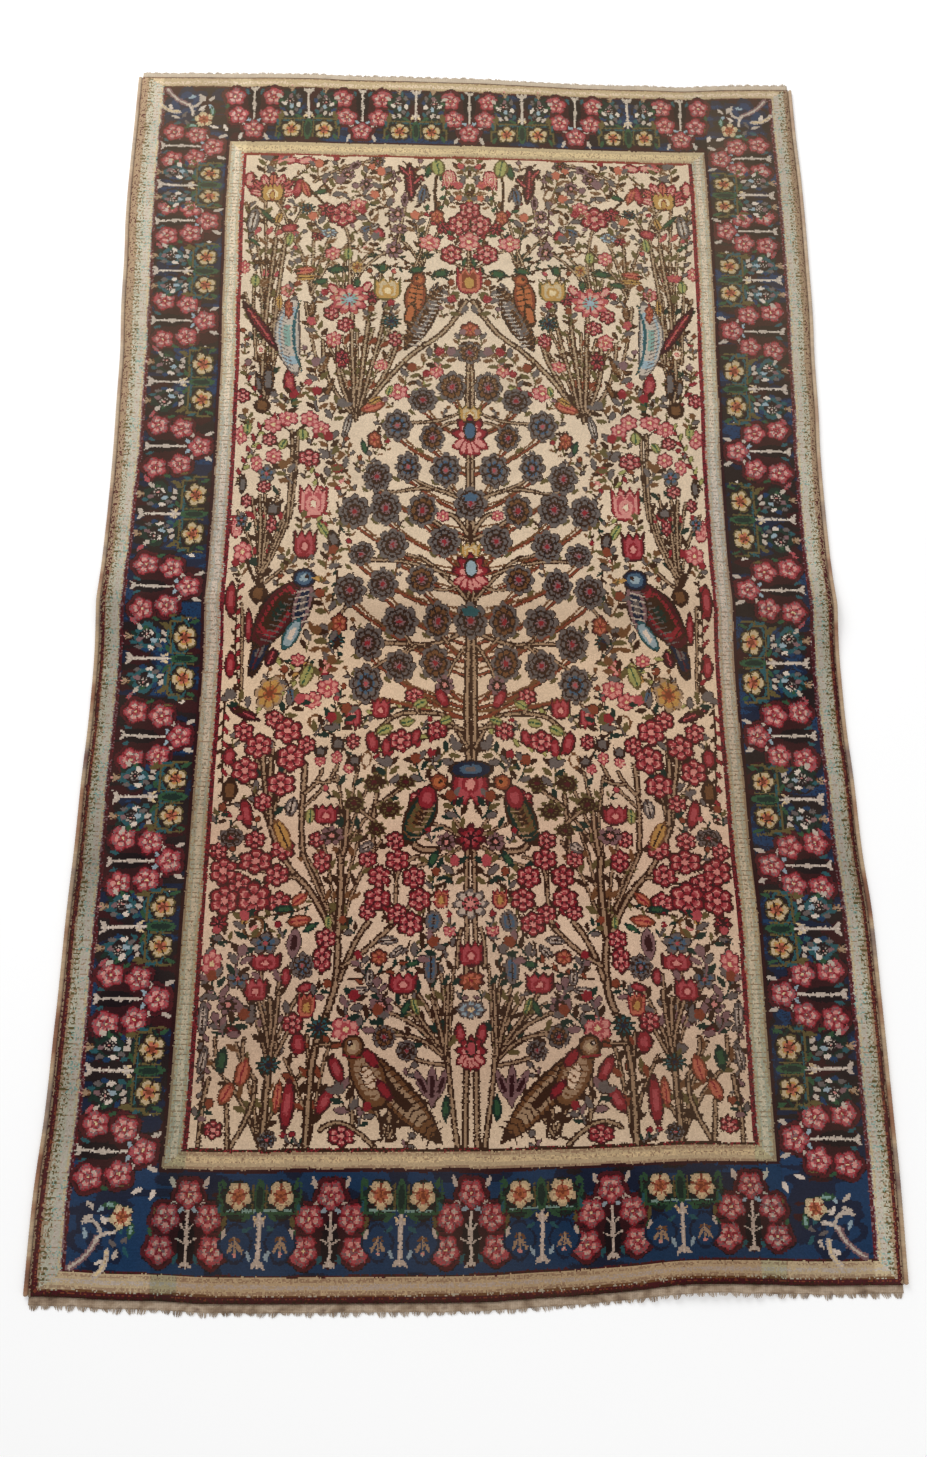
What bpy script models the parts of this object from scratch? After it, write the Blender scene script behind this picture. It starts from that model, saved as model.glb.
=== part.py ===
# A hand-knotted Persian rug lying flat on a floor, with one raised storage crease.
# Metres, +Z up. The rug's length runs along Y, with its near end towards -Y.
import math
import random
from collections import namedtuple

import bmesh
import bpy
import numpy as np

# Driving sizes of the knotted body, its side cords and its flat-woven ends.
BODY_THICKNESS = 0.008
CORD_RADIUS = 0.00375
CORD_GAP = 0.0004
CORD_SIDES_RESOLUTION = 2
END_THICKNESS = 0.0025
END_GAP = 0.0005
NEAR_PILE_Y = -1.125
FAR_PILE_Y = 1.099
COLUMNS = 24
END_FADE = 0.55

# How far each side lies from the long axis, cords included, from the near end to the far end.
Side = namedtuple("Side", "y left right")
SIDES = (
    Side(-1.10, 0.660, 0.655),
    Side(-1.00, 0.661, 0.660),
    Side(-0.84, 0.652, 0.658),
    Side(-0.60, 0.650, 0.657),
    Side(-0.40, 0.646, 0.647),
    Side(-0.18, 0.642, 0.641),
    Side(0.00, 0.645, 0.642),
    Side(0.22, 0.643, 0.641),
    Side(0.43, 0.646, 0.647),
    Side(0.62, 0.655, 0.654),
    Side(0.82, 0.662, 0.656),
    Side(1.05, 0.661, 0.653),
)
SIDE_SPREAD = 0.11

# How far the knotted edge of each end runs beyond its nominal line, measured towards +Y.
Wander = namedtuple("Wander", "x near far")
WANDERS = (
    Wander(-0.64, 0.010, 0.001),
    Wander(-0.50, 0.004, 0.003),
    Wander(-0.36, -0.002, 0.006),
    Wander(-0.18, -0.002, 0.003),
    Wander(0.00, -0.002, 0.002),
    Wander(0.12, 0.004, -0.002),
    Wander(0.22, 0.011, -0.007),
    Wander(0.33, 0.024, -0.013),
    Wander(0.41, 0.022, -0.013),
    Wander(0.52, 0.018, -0.002),
    Wander(0.64, 0.019, 0.000),
)
WANDER_SPREAD = 0.075

# Rows of the knotted body, closer together at the crease and at the ends.
Band = namedtuple("Band", "start stop rows")
BANDS = (
    Band(NEAR_PILE_Y, -0.76, 6),
    Band(-0.76, -0.13, 6),
    Band(-0.13, 0.09, 12),
    Band(0.09, 0.76, 6),
    Band(0.76, FAR_PILE_Y, 5),
)

# The crease left by folding the rug in half, and two low ripples that run in from the ends.
CREASE = namedtuple("Crease", "y height reach crown sway")(-0.020, 0.0125, 0.105, 0.010, 0.004)
Ripple = namedtuple("Ripple", "x end_y height half_width length")
RIPPLES = (
    Ripple(0.36, NEAR_PILE_Y, 0.0065, 0.17, 0.36),
    Ripple(0.35, FAR_PILE_Y, 0.0050, 0.15, 0.30),
)

# Flat-woven ends and the worn tufts of warp that stand on them.
End = namedtuple("End", "name side pile_y web tufts shortest longest seed")
ENDS = (
    End("fringed_end_near", -1, NEAR_PILE_Y, 0.0125, 74, 0.0045, 0.0090, 11),
    End("fringed_end_far", 1, FAR_PILE_Y, 0.0130, 74, 0.0030, 0.0065, 23),
)
TUFT_ROOT_SHARE = 0.41
TUFT_TIP_SHARE = 0.25

# Colour and roughness of each material.
Look = namedtuple("Look", "red green blue roughness")
LOOKS = {
    "knotted_pile": Look(0.46, 0.30, 0.20, 0.95),
    "overcast_yarn": Look(0.42, 0.27, 0.15, 0.92),
    "flat_weave": Look(0.50, 0.42, 0.30, 0.94),
}


def smooth(rows, column, at, spread):
    """The table's column at these places, each row weighted by a bell curve of its distance."""
    places = np.array([row[0] for row in rows])
    values = np.array([getattr(row, column) for row in rows])
    at = np.atleast_1d(np.asarray(at, float))
    weights = np.exp(-(((at[:, None] - places[None, :]) / spread) ** 2))
    return (weights * values).sum(axis=1) / weights.sum(axis=1)


def body_point(across, along):
    """Plan position of the knotted body, from across (-1 left to 1 right) and its nominal Y."""
    side = "left" if across < 0 else "right"
    reach = smooth(SIDES, side, along, SIDE_SPREAD)[0] - 2 * CORD_RADIUS - CORD_GAP
    x = across * reach
    near_share = max(0.0, 1 - (along - NEAR_PILE_Y) / END_FADE) ** 2
    far_share = max(0.0, 1 - (FAR_PILE_Y - along) / END_FADE) ** 2
    shift = near_share * smooth(WANDERS, "near", x, WANDER_SPREAD)[0]
    shift += far_share * smooth(WANDERS, "far", x, WANDER_SPREAD)[0]
    return x, along + shift


def lift(x, y):
    """Height of the underside over the floor: a tent with a rounded crown, and cosine ripples."""
    line = CREASE.y + CREASE.sway * math.sin(4.1 * x + 0.7)
    away = math.hypot(y - line, CREASE.crown) - CREASE.crown
    height = CREASE.height * max(0.0, 1 - away / CREASE.reach) ** 2
    for ripple in RIPPLES:
        across = abs(x - ripple.x) / ripple.half_width
        inward = (y - ripple.end_y) * (1 if ripple.end_y < 0 else -1) / ripple.length
        if across < 1 and inward < 1:
            fade = 0.5 + 0.5 * math.cos(math.pi * max(0.0, inward))
            height += ripple.height * fade * math.cos(0.5 * math.pi * across) ** 2
    return height


def row_places():
    """Nominal Y of each row of the body, from the near end to the far end."""
    places = [BANDS[0].start]
    for band in BANDS:
        step = (band.stop - band.start) / band.rows
        places += [band.start + step * (i + 1) for i in range(band.rows)]
    return places


def column_places():
    return [-1 + 2 * i / COLUMNS for i in range(COLUMNS + 1)]


def material(name):
    look = LOOKS[name]
    made = bpy.data.materials.new(name)
    made.use_nodes = True
    shader = made.node_tree.nodes["Principled BSDF"]
    shader.inputs["Base Color"].default_value = (look.red, look.green, look.blue, 1)
    shader.inputs["Roughness"].default_value = look.roughness
    shader.inputs["Metallic"].default_value = 0
    made.diffuse_color = (look.red, look.green, look.blue, 1)
    return made


def add_object(name, data, look, collection, parent):
    obj = bpy.data.objects.new(name, data)
    data.materials.append(look)
    collection.objects.link(obj)
    obj.parent = parent
    return obj


def make_body(collection, parent, look):
    """A grid bent to the outline and the folds is the underside; Solidify raises the pile on it."""
    rows = row_places()
    columns = column_places()
    mesh = bmesh.new()
    bmesh.ops.create_grid(mesh, x_segments=COLUMNS, y_segments=len(rows) - 1, size=1)
    for vert in mesh.verts:
        column = round((vert.co.x + 1) / 2 * COLUMNS)
        row = round((vert.co.y + 1) / 2 * (len(rows) - 1))
        x, y = body_point(columns[column], rows[row])
        vert.co = (x, y, lift(x, y))
    bmesh.ops.recalc_face_normals(mesh, faces=mesh.faces)
    if sum(face.normal.z for face in mesh.faces) < 0:
        bmesh.ops.reverse_faces(mesh, faces=mesh.faces)
    data = bpy.data.meshes.new("rug_body")
    mesh.to_mesh(data)
    mesh.free()
    data.shade_smooth()
    body = add_object("rug_body", data, look, collection, parent)
    solidify = body.modifiers.new("pile", "SOLIDIFY")
    solidify.thickness = BODY_THICKNESS
    solidify.offset = 1
    return body


def make_cord(name, across, collection, parent, look):
    """A cord of overcast warps that follows the edge of the body at one side."""
    points = []
    for along in row_places():
        x, y = body_point(across, along)
        outward = CORD_GAP + CORD_RADIUS
        points.append((x + across * outward, y, CORD_RADIUS + lift(x, y)))
    data = bpy.data.curves.new(name, "CURVE")
    data.dimensions = "3D"
    data.bevel_depth = CORD_RADIUS
    data.bevel_resolution = CORD_SIDES_RESOLUTION
    data.use_fill_caps = True
    spline = data.splines.new("POLY")
    spline.points.add(len(points) - 1)
    for point, place in zip(spline.points, points):
        point.co = (*place, 1)
    return add_object(name, data, look, collection, parent)


def end_outline(end):
    """Plan outline of a flat-woven end: straight along the pile, tufts of uneven length outside."""
    uneven = random.Random(end.seed)
    inner = [body_point(across, end.pile_y) for across in column_places()]
    outline = [(x, y + end.side * END_GAP) for x, y in inner]
    left, right = outline[0][0], outline[-1][0]
    pitch = (right - left) / end.tufts
    inner_x = [x for x, _ in outline]
    inner_y = [y for _, y in outline]
    web = end.web + END_GAP
    for i in reversed(range(end.tufts)):
        middle = left + pitch * (i + 0.5)
        at_corner = min(1.0, 0.45 + 0.3 * min(i, end.tufts - 1 - i))
        length = uneven.uniform(end.shortest, end.longest) * at_corner
        lean = pitch * uneven.uniform(-0.12, 0.12)
        root = float(np.interp(middle, inner_x, inner_y)) + end.side * web
        tip = root + end.side * length
        outline += [
            (middle + pitch * TUFT_ROOT_SHARE, root),
            (middle + pitch * TUFT_TIP_SHARE + lean, tip),
            (middle - pitch * TUFT_TIP_SHARE + lean, tip),
            (middle - pitch * TUFT_ROOT_SHARE, root),
        ]
    return outline


def make_end(end, collection, parent, look):
    """A filled outline, extruded to the thickness of the flat weave, then laid over the ripples."""
    outline = end_outline(end)
    flat = bpy.data.curves.new(end.name, "CURVE")
    flat.dimensions = "2D"
    flat.fill_mode = "BOTH"
    flat.extrude = END_THICKNESS / 2
    spline = flat.splines.new("POLY")
    spline.points.add(len(outline) - 1)
    spline.use_cyclic_u = True
    for point, (x, y) in zip(spline.points, outline):
        point.co = (x, y, 0, 1)
    guide = bpy.data.objects.new(end.name + "_outline", flat)
    collection.objects.link(guide)
    bpy.context.view_layer.update()
    evaluated = guide.evaluated_get(bpy.context.evaluated_depsgraph_get())
    data = bpy.data.meshes.new_from_object(evaluated)
    data.name = end.name
    mesh = bmesh.new()
    mesh.from_mesh(data)
    bmesh.ops.remove_doubles(mesh, verts=mesh.verts, dist=1e-6)
    for vert in mesh.verts:
        vert.co.z += END_THICKNESS / 2 + lift(vert.co.x, vert.co.y)
    bmesh.ops.recalc_face_normals(mesh, faces=mesh.faces)
    mesh.to_mesh(data)
    mesh.free()
    bpy.data.objects.remove(guide)
    return add_object(end.name, data, look, collection, parent)


def centre_on_origin(pieces, parent):
    """Moves the whole rug so that its bounding box is centred over the origin."""
    bpy.context.view_layer.update()
    graph = bpy.context.evaluated_depsgraph_get()
    corners = []
    for piece in pieces:
        evaluated = piece.evaluated_get(graph)
        mesh = evaluated.to_mesh()
        corners += [tuple(vert.co) for vert in mesh.vertices]
        evaluated.to_mesh_clear()
    corners = np.array(corners)
    middle = (corners.min(axis=0) + corners.max(axis=0)) / 2
    parent.location = (-middle[0], -middle[1], 0)
    bpy.context.view_layer.update()


def main():
    for obj in list(bpy.data.objects):
        bpy.data.objects.remove(obj)
    rug = bpy.data.collections.new("persian_rug")
    bpy.context.scene.collection.children.link(rug)
    frame = bpy.data.objects.new("rug_frame", None)
    rug.objects.link(frame)
    looks = {name: material(name) for name in LOOKS}
    pieces = [
        make_body(rug, frame, looks["knotted_pile"]),
        make_cord("selvedge_left", -1, rug, frame, looks["overcast_yarn"]),
        make_cord("selvedge_right", 1, rug, frame, looks["overcast_yarn"]),
    ]
    pieces += [make_end(end, rug, frame, looks["flat_weave"]) for end in ENDS]
    centre_on_origin(pieces, frame)


main()
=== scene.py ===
import bpy
import numpy as np
from mathutils import Euler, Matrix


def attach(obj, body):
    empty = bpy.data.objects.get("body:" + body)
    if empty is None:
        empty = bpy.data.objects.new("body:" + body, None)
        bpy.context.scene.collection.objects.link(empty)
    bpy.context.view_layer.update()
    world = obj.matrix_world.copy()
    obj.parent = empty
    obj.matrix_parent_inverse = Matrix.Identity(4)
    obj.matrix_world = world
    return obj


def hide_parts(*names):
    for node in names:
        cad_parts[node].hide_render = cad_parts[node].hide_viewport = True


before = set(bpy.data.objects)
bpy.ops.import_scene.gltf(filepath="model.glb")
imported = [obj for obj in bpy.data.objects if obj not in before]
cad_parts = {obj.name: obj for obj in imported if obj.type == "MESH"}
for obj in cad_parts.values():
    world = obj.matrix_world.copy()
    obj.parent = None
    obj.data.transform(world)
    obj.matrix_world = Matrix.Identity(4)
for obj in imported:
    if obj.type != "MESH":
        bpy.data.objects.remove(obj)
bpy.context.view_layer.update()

scene = bpy.context.scene
print("frame loaded", sorted(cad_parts))

# How the rug lies, in metres before the move to the frame's centre: the same tables as the solids.
lie = dict(
    # along, left reach, right reach
    sides=((-1.10, 0.660, 0.655), (-1.00, 0.661, 0.660), (-0.84, 0.652, 0.658), (-0.60, 0.650, 0.657),
           (-0.40, 0.646, 0.647), (-0.18, 0.642, 0.641), (0.00, 0.645, 0.642), (0.22, 0.643, 0.641),
           (0.43, 0.646, 0.647), (0.62, 0.655, 0.654), (0.82, 0.662, 0.656), (1.05, 0.661, 0.653)),
    sideSpread=0.11,
    # across, near edge, far edge
    wanders=((-0.64, 0.010, 0.001), (-0.50, 0.004, 0.003), (-0.36, -0.002, 0.006), (-0.18, -0.002, 0.003),
             (0.00, -0.002, 0.002), (0.12, 0.004, -0.002), (0.22, 0.011, -0.007), (0.33, 0.024, -0.013),
             (0.41, 0.022, -0.013), (0.52, 0.018, -0.002), (0.64, 0.019, 0.000)),
    wanderSpread=0.075,
    near=-1.125, far=1.099, endFade=0.55,
    cordRadius=0.00375, cordGap=0.0004, thickness=0.008,
    creaseAt=-0.020, creaseHeight=0.0125, creaseReach=0.105, creaseCrown=0.010, creaseSway=0.004,
    # across, end, height, half width, length
    ripples=((0.36, -1.125, 0.0065, 0.17, 0.36), (0.35, 1.099, 0.0050, 0.15, 0.30)),
    move=(0.001467, 0.012330),
)
print("rug lies", lie["far"] - lie["near"], "m long")


def evened(table, column, at, spread):
    # a table's column at these places: sum of w v over sum of w, w = exp(-((at - place) / spread) squared)
    rows = np.array(table)
    weights = np.exp(-(((np.asarray(at, float)[..., None] - rows[:, 0]) / spread) ** 2))
    return (weights * rows[:, column]).sum(-1) / weights.sum(-1)


def layOut(across, along, outward=0.0):
    # plan place: x = across times the reach of that side, y = along plus each end's wander, fading inwards
    left, right = (evened(lie["sides"], side, along, lie["sideSpread"]) for side in (1, 2))
    reach = np.where(across < 0, left, right) - 2 * lie["cordRadius"] - lie["cordGap"]
    x = across * reach
    nearShare = np.clip(1 - (along - lie["near"]) / lie["endFade"], 0, None) ** 2
    farShare = np.clip(1 - (lie["far"] - along) / lie["endFade"], 0, None) ** 2
    y = along + nearShare * evened(lie["wanders"], 1, x, lie["wanderSpread"])
    y = y + farShare * evened(lie["wanders"], 2, x, lie["wanderSpread"])
    return x + np.sign(across) * outward, y


def raised(x, y):
    # height of the underside: a tent with a rounded crown at the crease, and cosine ripples at the ends
    line = lie["creaseAt"] + lie["creaseSway"] * np.sin(4.1 * x + 0.7)
    away = np.hypot(y - line, lie["creaseCrown"]) - lie["creaseCrown"]
    height = lie["creaseHeight"] * np.clip(1 - away / lie["creaseReach"], 0, None) ** 2
    for middle, end, rise, half, length in lie["ripples"]:
        across = np.clip(np.abs(x - middle) / half, 0, 1)
        inward = np.clip((y - end) * (1 if end < 0 else -1) / length, 0, 1)
        height = height + rise * (0.5 + 0.5 * np.cos(np.pi * inward)) * np.cos(0.5 * np.pi * across) ** 2
    return height


def meshFrom(name, places, faces, uv=None):
    # places are n by 3, faces a list of (corners, sides) arrays; uv is one pair for each vertex
    mesh = bpy.data.meshes.new(name)
    corners = np.concatenate([part.ravel() for part in faces]).astype(np.int32)
    sizes = np.concatenate([np.full(len(part), part.shape[1]) for part in faces])
    places = places + np.array([*lie["move"], 0.0])
    mesh.vertices.add(len(places))
    mesh.vertices.foreach_set("co", places.astype(np.float32).ravel())
    mesh.loops.add(len(corners))
    mesh.loops.foreach_set("vertex_index", corners)
    mesh.polygons.add(len(sizes))
    mesh.polygons.foreach_set("loop_start", np.concatenate([[0], np.cumsum(sizes)[:-1]]).astype(np.int32))
    mesh.update(calc_edges=True)
    if uv is not None:
        layer = mesh.uv_layers.new(name="weave")
        layer.data.foreach_set("uv", uv[corners].astype(np.float32).ravel())
    mesh.shade_smooth()
    piece = bpy.data.objects.new(name, mesh)
    scene.collection.objects.link(piece)
    return piece


def gridFaces(rows, columns, start=0, flip=False, wrap=False):
    # quads of a grid numbered row by row, facing up, or down with flip; wrap joins last column and first
    i, j = np.meshgrid(np.arange(rows - 1), np.arange(columns if wrap else columns - 1), indexing="ij")
    across = (j + 1) % columns
    quads = np.stack([i * columns + j, i * columns + across, (i + 1) * columns + across,
                      (i + 1) * columns + j], -1).reshape(-1, 4) + start
    return quads[:, ::-1] if flip else quads


# The camera, fitted to the four corners of the pile in the photograph.
sight = dict(place=(-0.0559, -0.7349, 1.7987), turn=(15.248, -1.398, -0.011), lens=27.18)


def setCamera():
    lens = bpy.data.cameras.new("viewLens")
    lens.lens = sight["lens"]
    lens.sensor_width = 36
    camera = bpy.data.objects.new("view", lens)
    camera.location = np.array(sight["place"]) + np.array([*lie["move"], 0])
    camera.rotation_euler = Euler(np.radians(sight["turn"]))
    scene.collection.objects.link(camera)
    scene.camera = camera


setCamera()
print("camera set")


class Number:
    # wraps a socket that carries a number, so that arithmetic on it adds Math nodes
    def __init__(self, finish, socket):
        self.finish, self.socket = finish, socket

    def maths(self, operation, *others):
        inputs = dict(enumerate((self, *others)))
        made = self.finish.node("ShaderNodeMath", dict(operation=operation), inputs)
        return Number(self.finish, made.outputs[0])

    def __add__(self, other):
        return self.maths("ADD", other)

    def __sub__(self, other):
        return self.maths("SUBTRACT", other)

    def __rsub__(self, other):
        return self * -1 + other

    def __mul__(self, other):
        return self.maths("MULTIPLY", other)

    def __truediv__(self, other):
        return self.maths("DIVIDE", other)

    def __mod__(self, other):
        return self.maths("MODULO", other)

    def __lt__(self, other):
        return self.maths("LESS_THAN", other)

    def __gt__(self, other):
        return self.maths("GREATER_THAN", other)

    __radd__ = __add__
    __rmul__ = __mul__

    def floor(self):
        return self.maths("FLOOR")

    def wave(self):
        return self.maths("SINE")

    def limited(self, low=0.0, high=1.0):
        return self.maths("MAXIMUM", low).maths("MINIMUM", high)

    def rise(self, start, stop):
        # 0 below start and 1 above stop, with a smooth step between
        made = self.finish.node("ShaderNodeMapRange", dict(interpolation_type="SMOOTHSTEP"),
                                {"Value": self, "From Min": start, "From Max": stop})
        return Number(self.finish, made.outputs[0])


class Finish:
    # one material and the nodes that colour it
    def __init__(self, name, **constants):
        self.material = bpy.data.materials.new(name)
        self.material.use_nodes = True
        self.tree = self.material.node_tree
        self.shader = self.tree.nodes["Principled BSDF"]
        for socket, value in constants.items():
            self.shader.inputs[socket.replace("_", " ")].default_value = value

    def node(self, kind, settings=None, inputs=None):
        made = self.tree.nodes.new(kind)
        for name, value in (settings or {}).items():
            setattr(made, name, value)
        for name, value in (inputs or {}).items():
            value = getattr(value, "socket", value)
            if isinstance(value, bpy.types.NodeSocket):
                self.tree.links.new(value, made.inputs[name])
            else:
                made.inputs[name].default_value = value
        return made

    def parts(self, socket):
        made = self.node("ShaderNodeSeparateXYZ", None, {0: socket})
        return [Number(self, part) for part in made.outputs]

    def vector(self, x, y, z=0.0):
        return self.node("ShaderNodeCombineXYZ", None, {0: x, 1: y, 2: z}).outputs[0]

    def noise(self, place, scale, detail=2.0, roughness=0.5):
        made = self.node("ShaderNodeTexNoise", None, {"Vector": place, "Scale": scale, "Detail": detail,
                                                      "Roughness": roughness})
        return Number(self, made.outputs[0])

    def speck(self, place):
        # an unrelated number from 0 to 1 for each whole place
        return Number(self, self.node("ShaderNodeTexWhiteNoise", None, {"Vector": place}).outputs[0])

    def mix(self, share, first, second, how="MIX"):
        settings = dict(data_type="RGBA", blend_type=how)
        made = self.node("ShaderNodeMix", settings, {0: share, 6: first, 7: second})
        return made.outputs[2]

    def ramp(self, share, stops, ramping="LINEAR"):
        made = self.node("ShaderNodeValToRGB", None, {0: share})
        made.color_ramp.interpolation = ramping
        elements = made.color_ramp.elements
        while len(elements) < len(stops):
            elements.new(0.5)
        for element, (place, colour) in zip(elements, stops):
            element.position = place
            element.color = colour
        return made.outputs[0]

    def place(self):
        # where a point lies on the rug, in metres
        return self.node("ShaderNodeTexCoord").outputs["Object"]

    def weave(self):
        # shares across and along the pile
        return self.parts(self.node("ShaderNodeUVMap", dict(uv_map="weave")).outputs[0])[:2]

    def shaded(self, colour, light):
        return self.mix(1.0, colour, self.vector(light, light, light), "MULTIPLY")

    def bump(self, height, distance, strength=1.0, normal=None):
        inputs = {"Height": height, "Distance": distance, "Strength": strength}
        if normal:
            inputs["Normal"] = normal
        return self.node("ShaderNodeBump", None, inputs).outputs[0]

    def into(self, **links):
        for name, value in links.items():
            self.tree.links.new(getattr(value, "socket", value), self.shader.inputs[name.replace("_", " ")])
        return self.material


def linear(colour):
    # an 8-bit colour as a linear one, by the sRGB curve
    share = np.array(colour, float) / 255
    share = np.where(share <= 0.04045, share / 12.92, ((share + 0.055) / 1.055) ** 2.4)
    return (*share.tolist(), 1.0)


# Wool colours of the knots, as they look in daylight, red, green, blue out of 255.
woolColours = dict(
    ivory=(226, 208, 184), sage=(186, 184, 166), straw=(196, 178, 144), soot=(30, 22, 26),
    maroon=(80, 30, 36), crimson=(138, 40, 50), rose=(172, 78, 86), pink=(212, 146, 140),
    salmon=(188, 110, 88), orange=(176, 104, 66), gold=(184, 146, 84), cream=(222, 202, 160),
    white=(220, 210, 198), brown=(112, 78, 50), umber=(60, 38, 26), olive=(98, 88, 54),
    lime=(158, 160, 100), green=(50, 86, 60), pine=(30, 50, 44), teal=(44, 90, 98),
    aqua=(132, 168, 160), navy=(28, 38, 62), indigo=(30, 60, 96), blue=(70, 98, 124),
    sky=(150, 174, 186), slate=(104, 98, 97), mauve=(128, 100, 104), ash=(192, 182, 170),
    rust=(128, 66, 46), wine=(56, 26, 30), tan=(164, 140, 114), ink=(38, 30, 32),
)
woolNames = list(woolColours)

# Knots across and along, the pile's edges in centimetres from the middle of the field, and how far in the
# steps of the layout are counted. Then the distances from the sides, the near end and the far end at which
# the border stops, the guards stop and the corner branches stand.
chartSize = dict(columns=684, rows=1170, halfWidth=64.2, near=-112.5, far=109.9, middle=60.0,
                 borderStop=(17.5, 17.5, 15.2), guardStop=(21.0, 21.0, 18.4), cornerFoot=(5.7, 4.6, 3.4))
everywhere = (slice(None), slice(None))
# Steps to the four knots beside one, each with its axis.
besides = ((1, 0), (-1, 0), (1, 1), (-1, 1))


def smoothNoise(rng, cellsUp, cellsAcross, shape):
    # random values on a coarse grid, read between its corners with a smooth step
    grid = rng.uniform(-1, 1, (cellsUp + 2, cellsAcross + 2))
    up = np.linspace(0, cellsUp, shape[0], endpoint=False)[:, None]
    across = np.linspace(0, cellsAcross, shape[1], endpoint=False)[None, :]
    i, j = up.astype(int), across.astype(int)
    s, t = up - i, across - j
    s, t = s * s * (3 - 2 * s), t * t * (3 - 2 * t)
    lower = grid[i, j] * (1 - t) + grid[i, j + 1] * t
    upper = grid[i + 1, j] * (1 - t) + grid[i + 1, j + 1] * t
    return lower * (1 - s) + upper * s


class KnotChart:
    # rows of knots from the near end; every place is a complex number, across plus up, in centimetres
    def __init__(self, size, seed):
        rng = np.random.default_rng(seed)
        shape = (size["rows"], size["columns"])
        across = (np.arange(shape[1]) + 0.5) / shape[1] * 2 - 1
        up = (np.arange(shape[0]) + 0.5) / shape[0]
        self.x = np.broadcast_to(across * size["halfWidth"], shape)
        self.y = np.broadcast_to((size["near"] + up * (size["far"] - size["near"]))[:, None], shape)
        self.knots = np.zeros(shape, np.uint8)
        # a weaver's hand wanders: slow drift of a millimetre or two and a ragged last knot
        drift = 0.16 * smoothNoise(rng, 46, 27, shape) + 0.16j * smoothNoise(rng, 46, 27, shape)
        ragged = rng.uniform(-0.06, 0.06, shape) + 1j * rng.uniform(-0.06, 0.06, shape)
        self.place = self.x + 1j * self.y + drift + ragged
        self.calm = self.x + 1j * self.y + 0.6 * drift
        self.chance = rng.random(shape)
        self.pitch = (2 * size["halfWidth"] / shape[1], (size["far"] - size["near"]) / shape[0])
        self.corner = (-size["halfWidth"], size["near"])

    def window(self, centre, reach):
        low = [int((part - reach - start) / pitch) - 1 for part, start, pitch in
               zip((centre.real, centre.imag), self.corner, self.pitch)]
        high = [int((part + reach - start) / pitch) + 2 for part, start, pitch in
                zip((centre.real, centre.imag), self.corner, self.pitch)]
        return slice(max(low[1], 0), max(high[1], 0)), slice(max(low[0], 0), max(high[0], 0))

    def tie(self, where, inside, wool, fill=1.0):
        # ties this wool wherever the shape is, or on a share of its knots
        cells = self.knots[where]
        if fill < 1:
            inside = inside & (self.chance[where] < fill)
        cells[inside] = woolNames.index(wool)


chart = KnotChart(chartSize, 3)


class Spot:
    # a place on the chart with its own turn, size and handedness, where a motif is drawn
    def __init__(self, centre, turn=0.0, size=1.0, flip=False):
        self.centre, self.turn, self.size, self.flip = centre, turn, size, flip

    def out(self, step):
        return self.centre + self.size * np.exp(1j * self.turn) * (-np.conj(step) if self.flip else step)

    def at(self, step, turn=0.0, size=1.0, flip=False):
        turn = np.radians(turn)
        return Spot(self.out(step), self.turn + (-turn if self.flip else turn), self.size * size,
                    self.flip != flip)

    def curve(self, start, pull, stop, steps=10):
        # points of a quadratic curve from step to step, drawn towards pull
        t = np.linspace(0, 1, steps + 1)
        start, pull, stop = self.out(start), self.out(pull), self.out(stop)
        return (1 - t) ** 2 * start + 2 * t * (1 - t) * pull + t ** 2 * stop

    def local(self, places):
        inner = (places - self.centre) / (self.size * np.exp(1j * self.turn))
        return -np.conj(inner) if self.flip else inner


def blossom(spot, wide, tall, petals, depth, rings, gap=None):
    # rings of colour inside a petalled outline: radius falls by depth between petals, a line at each gap
    where = chart.window(spot.centre, spot.size * max(wide, tall))
    inner = spot.local(chart.place[where])
    scaled = inner.real / wide + 1j * inner.imag / tall
    fold = 0.5 - 0.5 * np.cos(petals * (np.angle(scaled) - np.pi / 2))
    level = np.abs(scaled) / (1 - depth * fold ** 1.5)
    for share, wool in rings.items():
        chart.tie(where, level < share, wool)
    if gap:
        # half the angle to the nearest gap times the radius is how far a knot lies from the gap's line
        away = np.abs(inner) * np.arccos(np.clip(1 - 2 * fold, -1, 1))
        away = np.abs(np.pi * np.abs(inner) - away) / petals
        chart.tie(where, (away < 0.15) & (level > 0.24) & (level < 0.97), gap)


def leaf(spot, wide, tall, rings, bend=0.0, rib=None):
    # a spindle that tapers to both ends, bowed to one side, with an optional midrib
    where = chart.window(spot.centre, spot.size * (max(wide, tall) + abs(bend)))
    inner = spot.local(chart.place[where])
    along = np.clip(np.abs(inner.imag / tall), 0, 1)
    swell = (1 - along ** 2) ** 0.8
    off = np.abs(inner.real - bend * (1 - along ** 2))
    level = np.maximum(off / (wide * swell + 1e-6), np.abs(inner.imag / tall))
    for share, wool in rings.items():
        chart.tie(where, level < share, wool)
    if rib:
        chart.tie(where, (off < 0.14) & (along < 0.72), rib)


def cup(spot, wide, tall, rings, lobes=3):
    # a tulip from its base up: belly low, mouth cut into pointed lobes, and rings under a half are round
    where = chart.window(spot.centre, spot.size * max(wide, tall) * 1.1)
    inner = spot.local(chart.place[where])
    across, up = inner.real / wide, inner.imag / tall
    teeth = np.abs(((across * lobes / 2 + 0.5 * (lobes % 2)) % 1) * 2 - 1)
    belly = np.sqrt(np.clip(1 - ((up + 0.25) / 0.78) ** 2, 0.05, 1))
    body = np.where(up < -0.2, np.abs(across) / belly, np.abs(across))
    level = np.maximum(body, np.maximum(up / (1 - 0.55 * (1 - teeth)), -up))
    heart = np.abs(across + 1j * (up + 0.2))
    for share, wool in rings.items():
        chart.tie(where, (level if share > 0.5 else heart) < share, wool)


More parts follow.
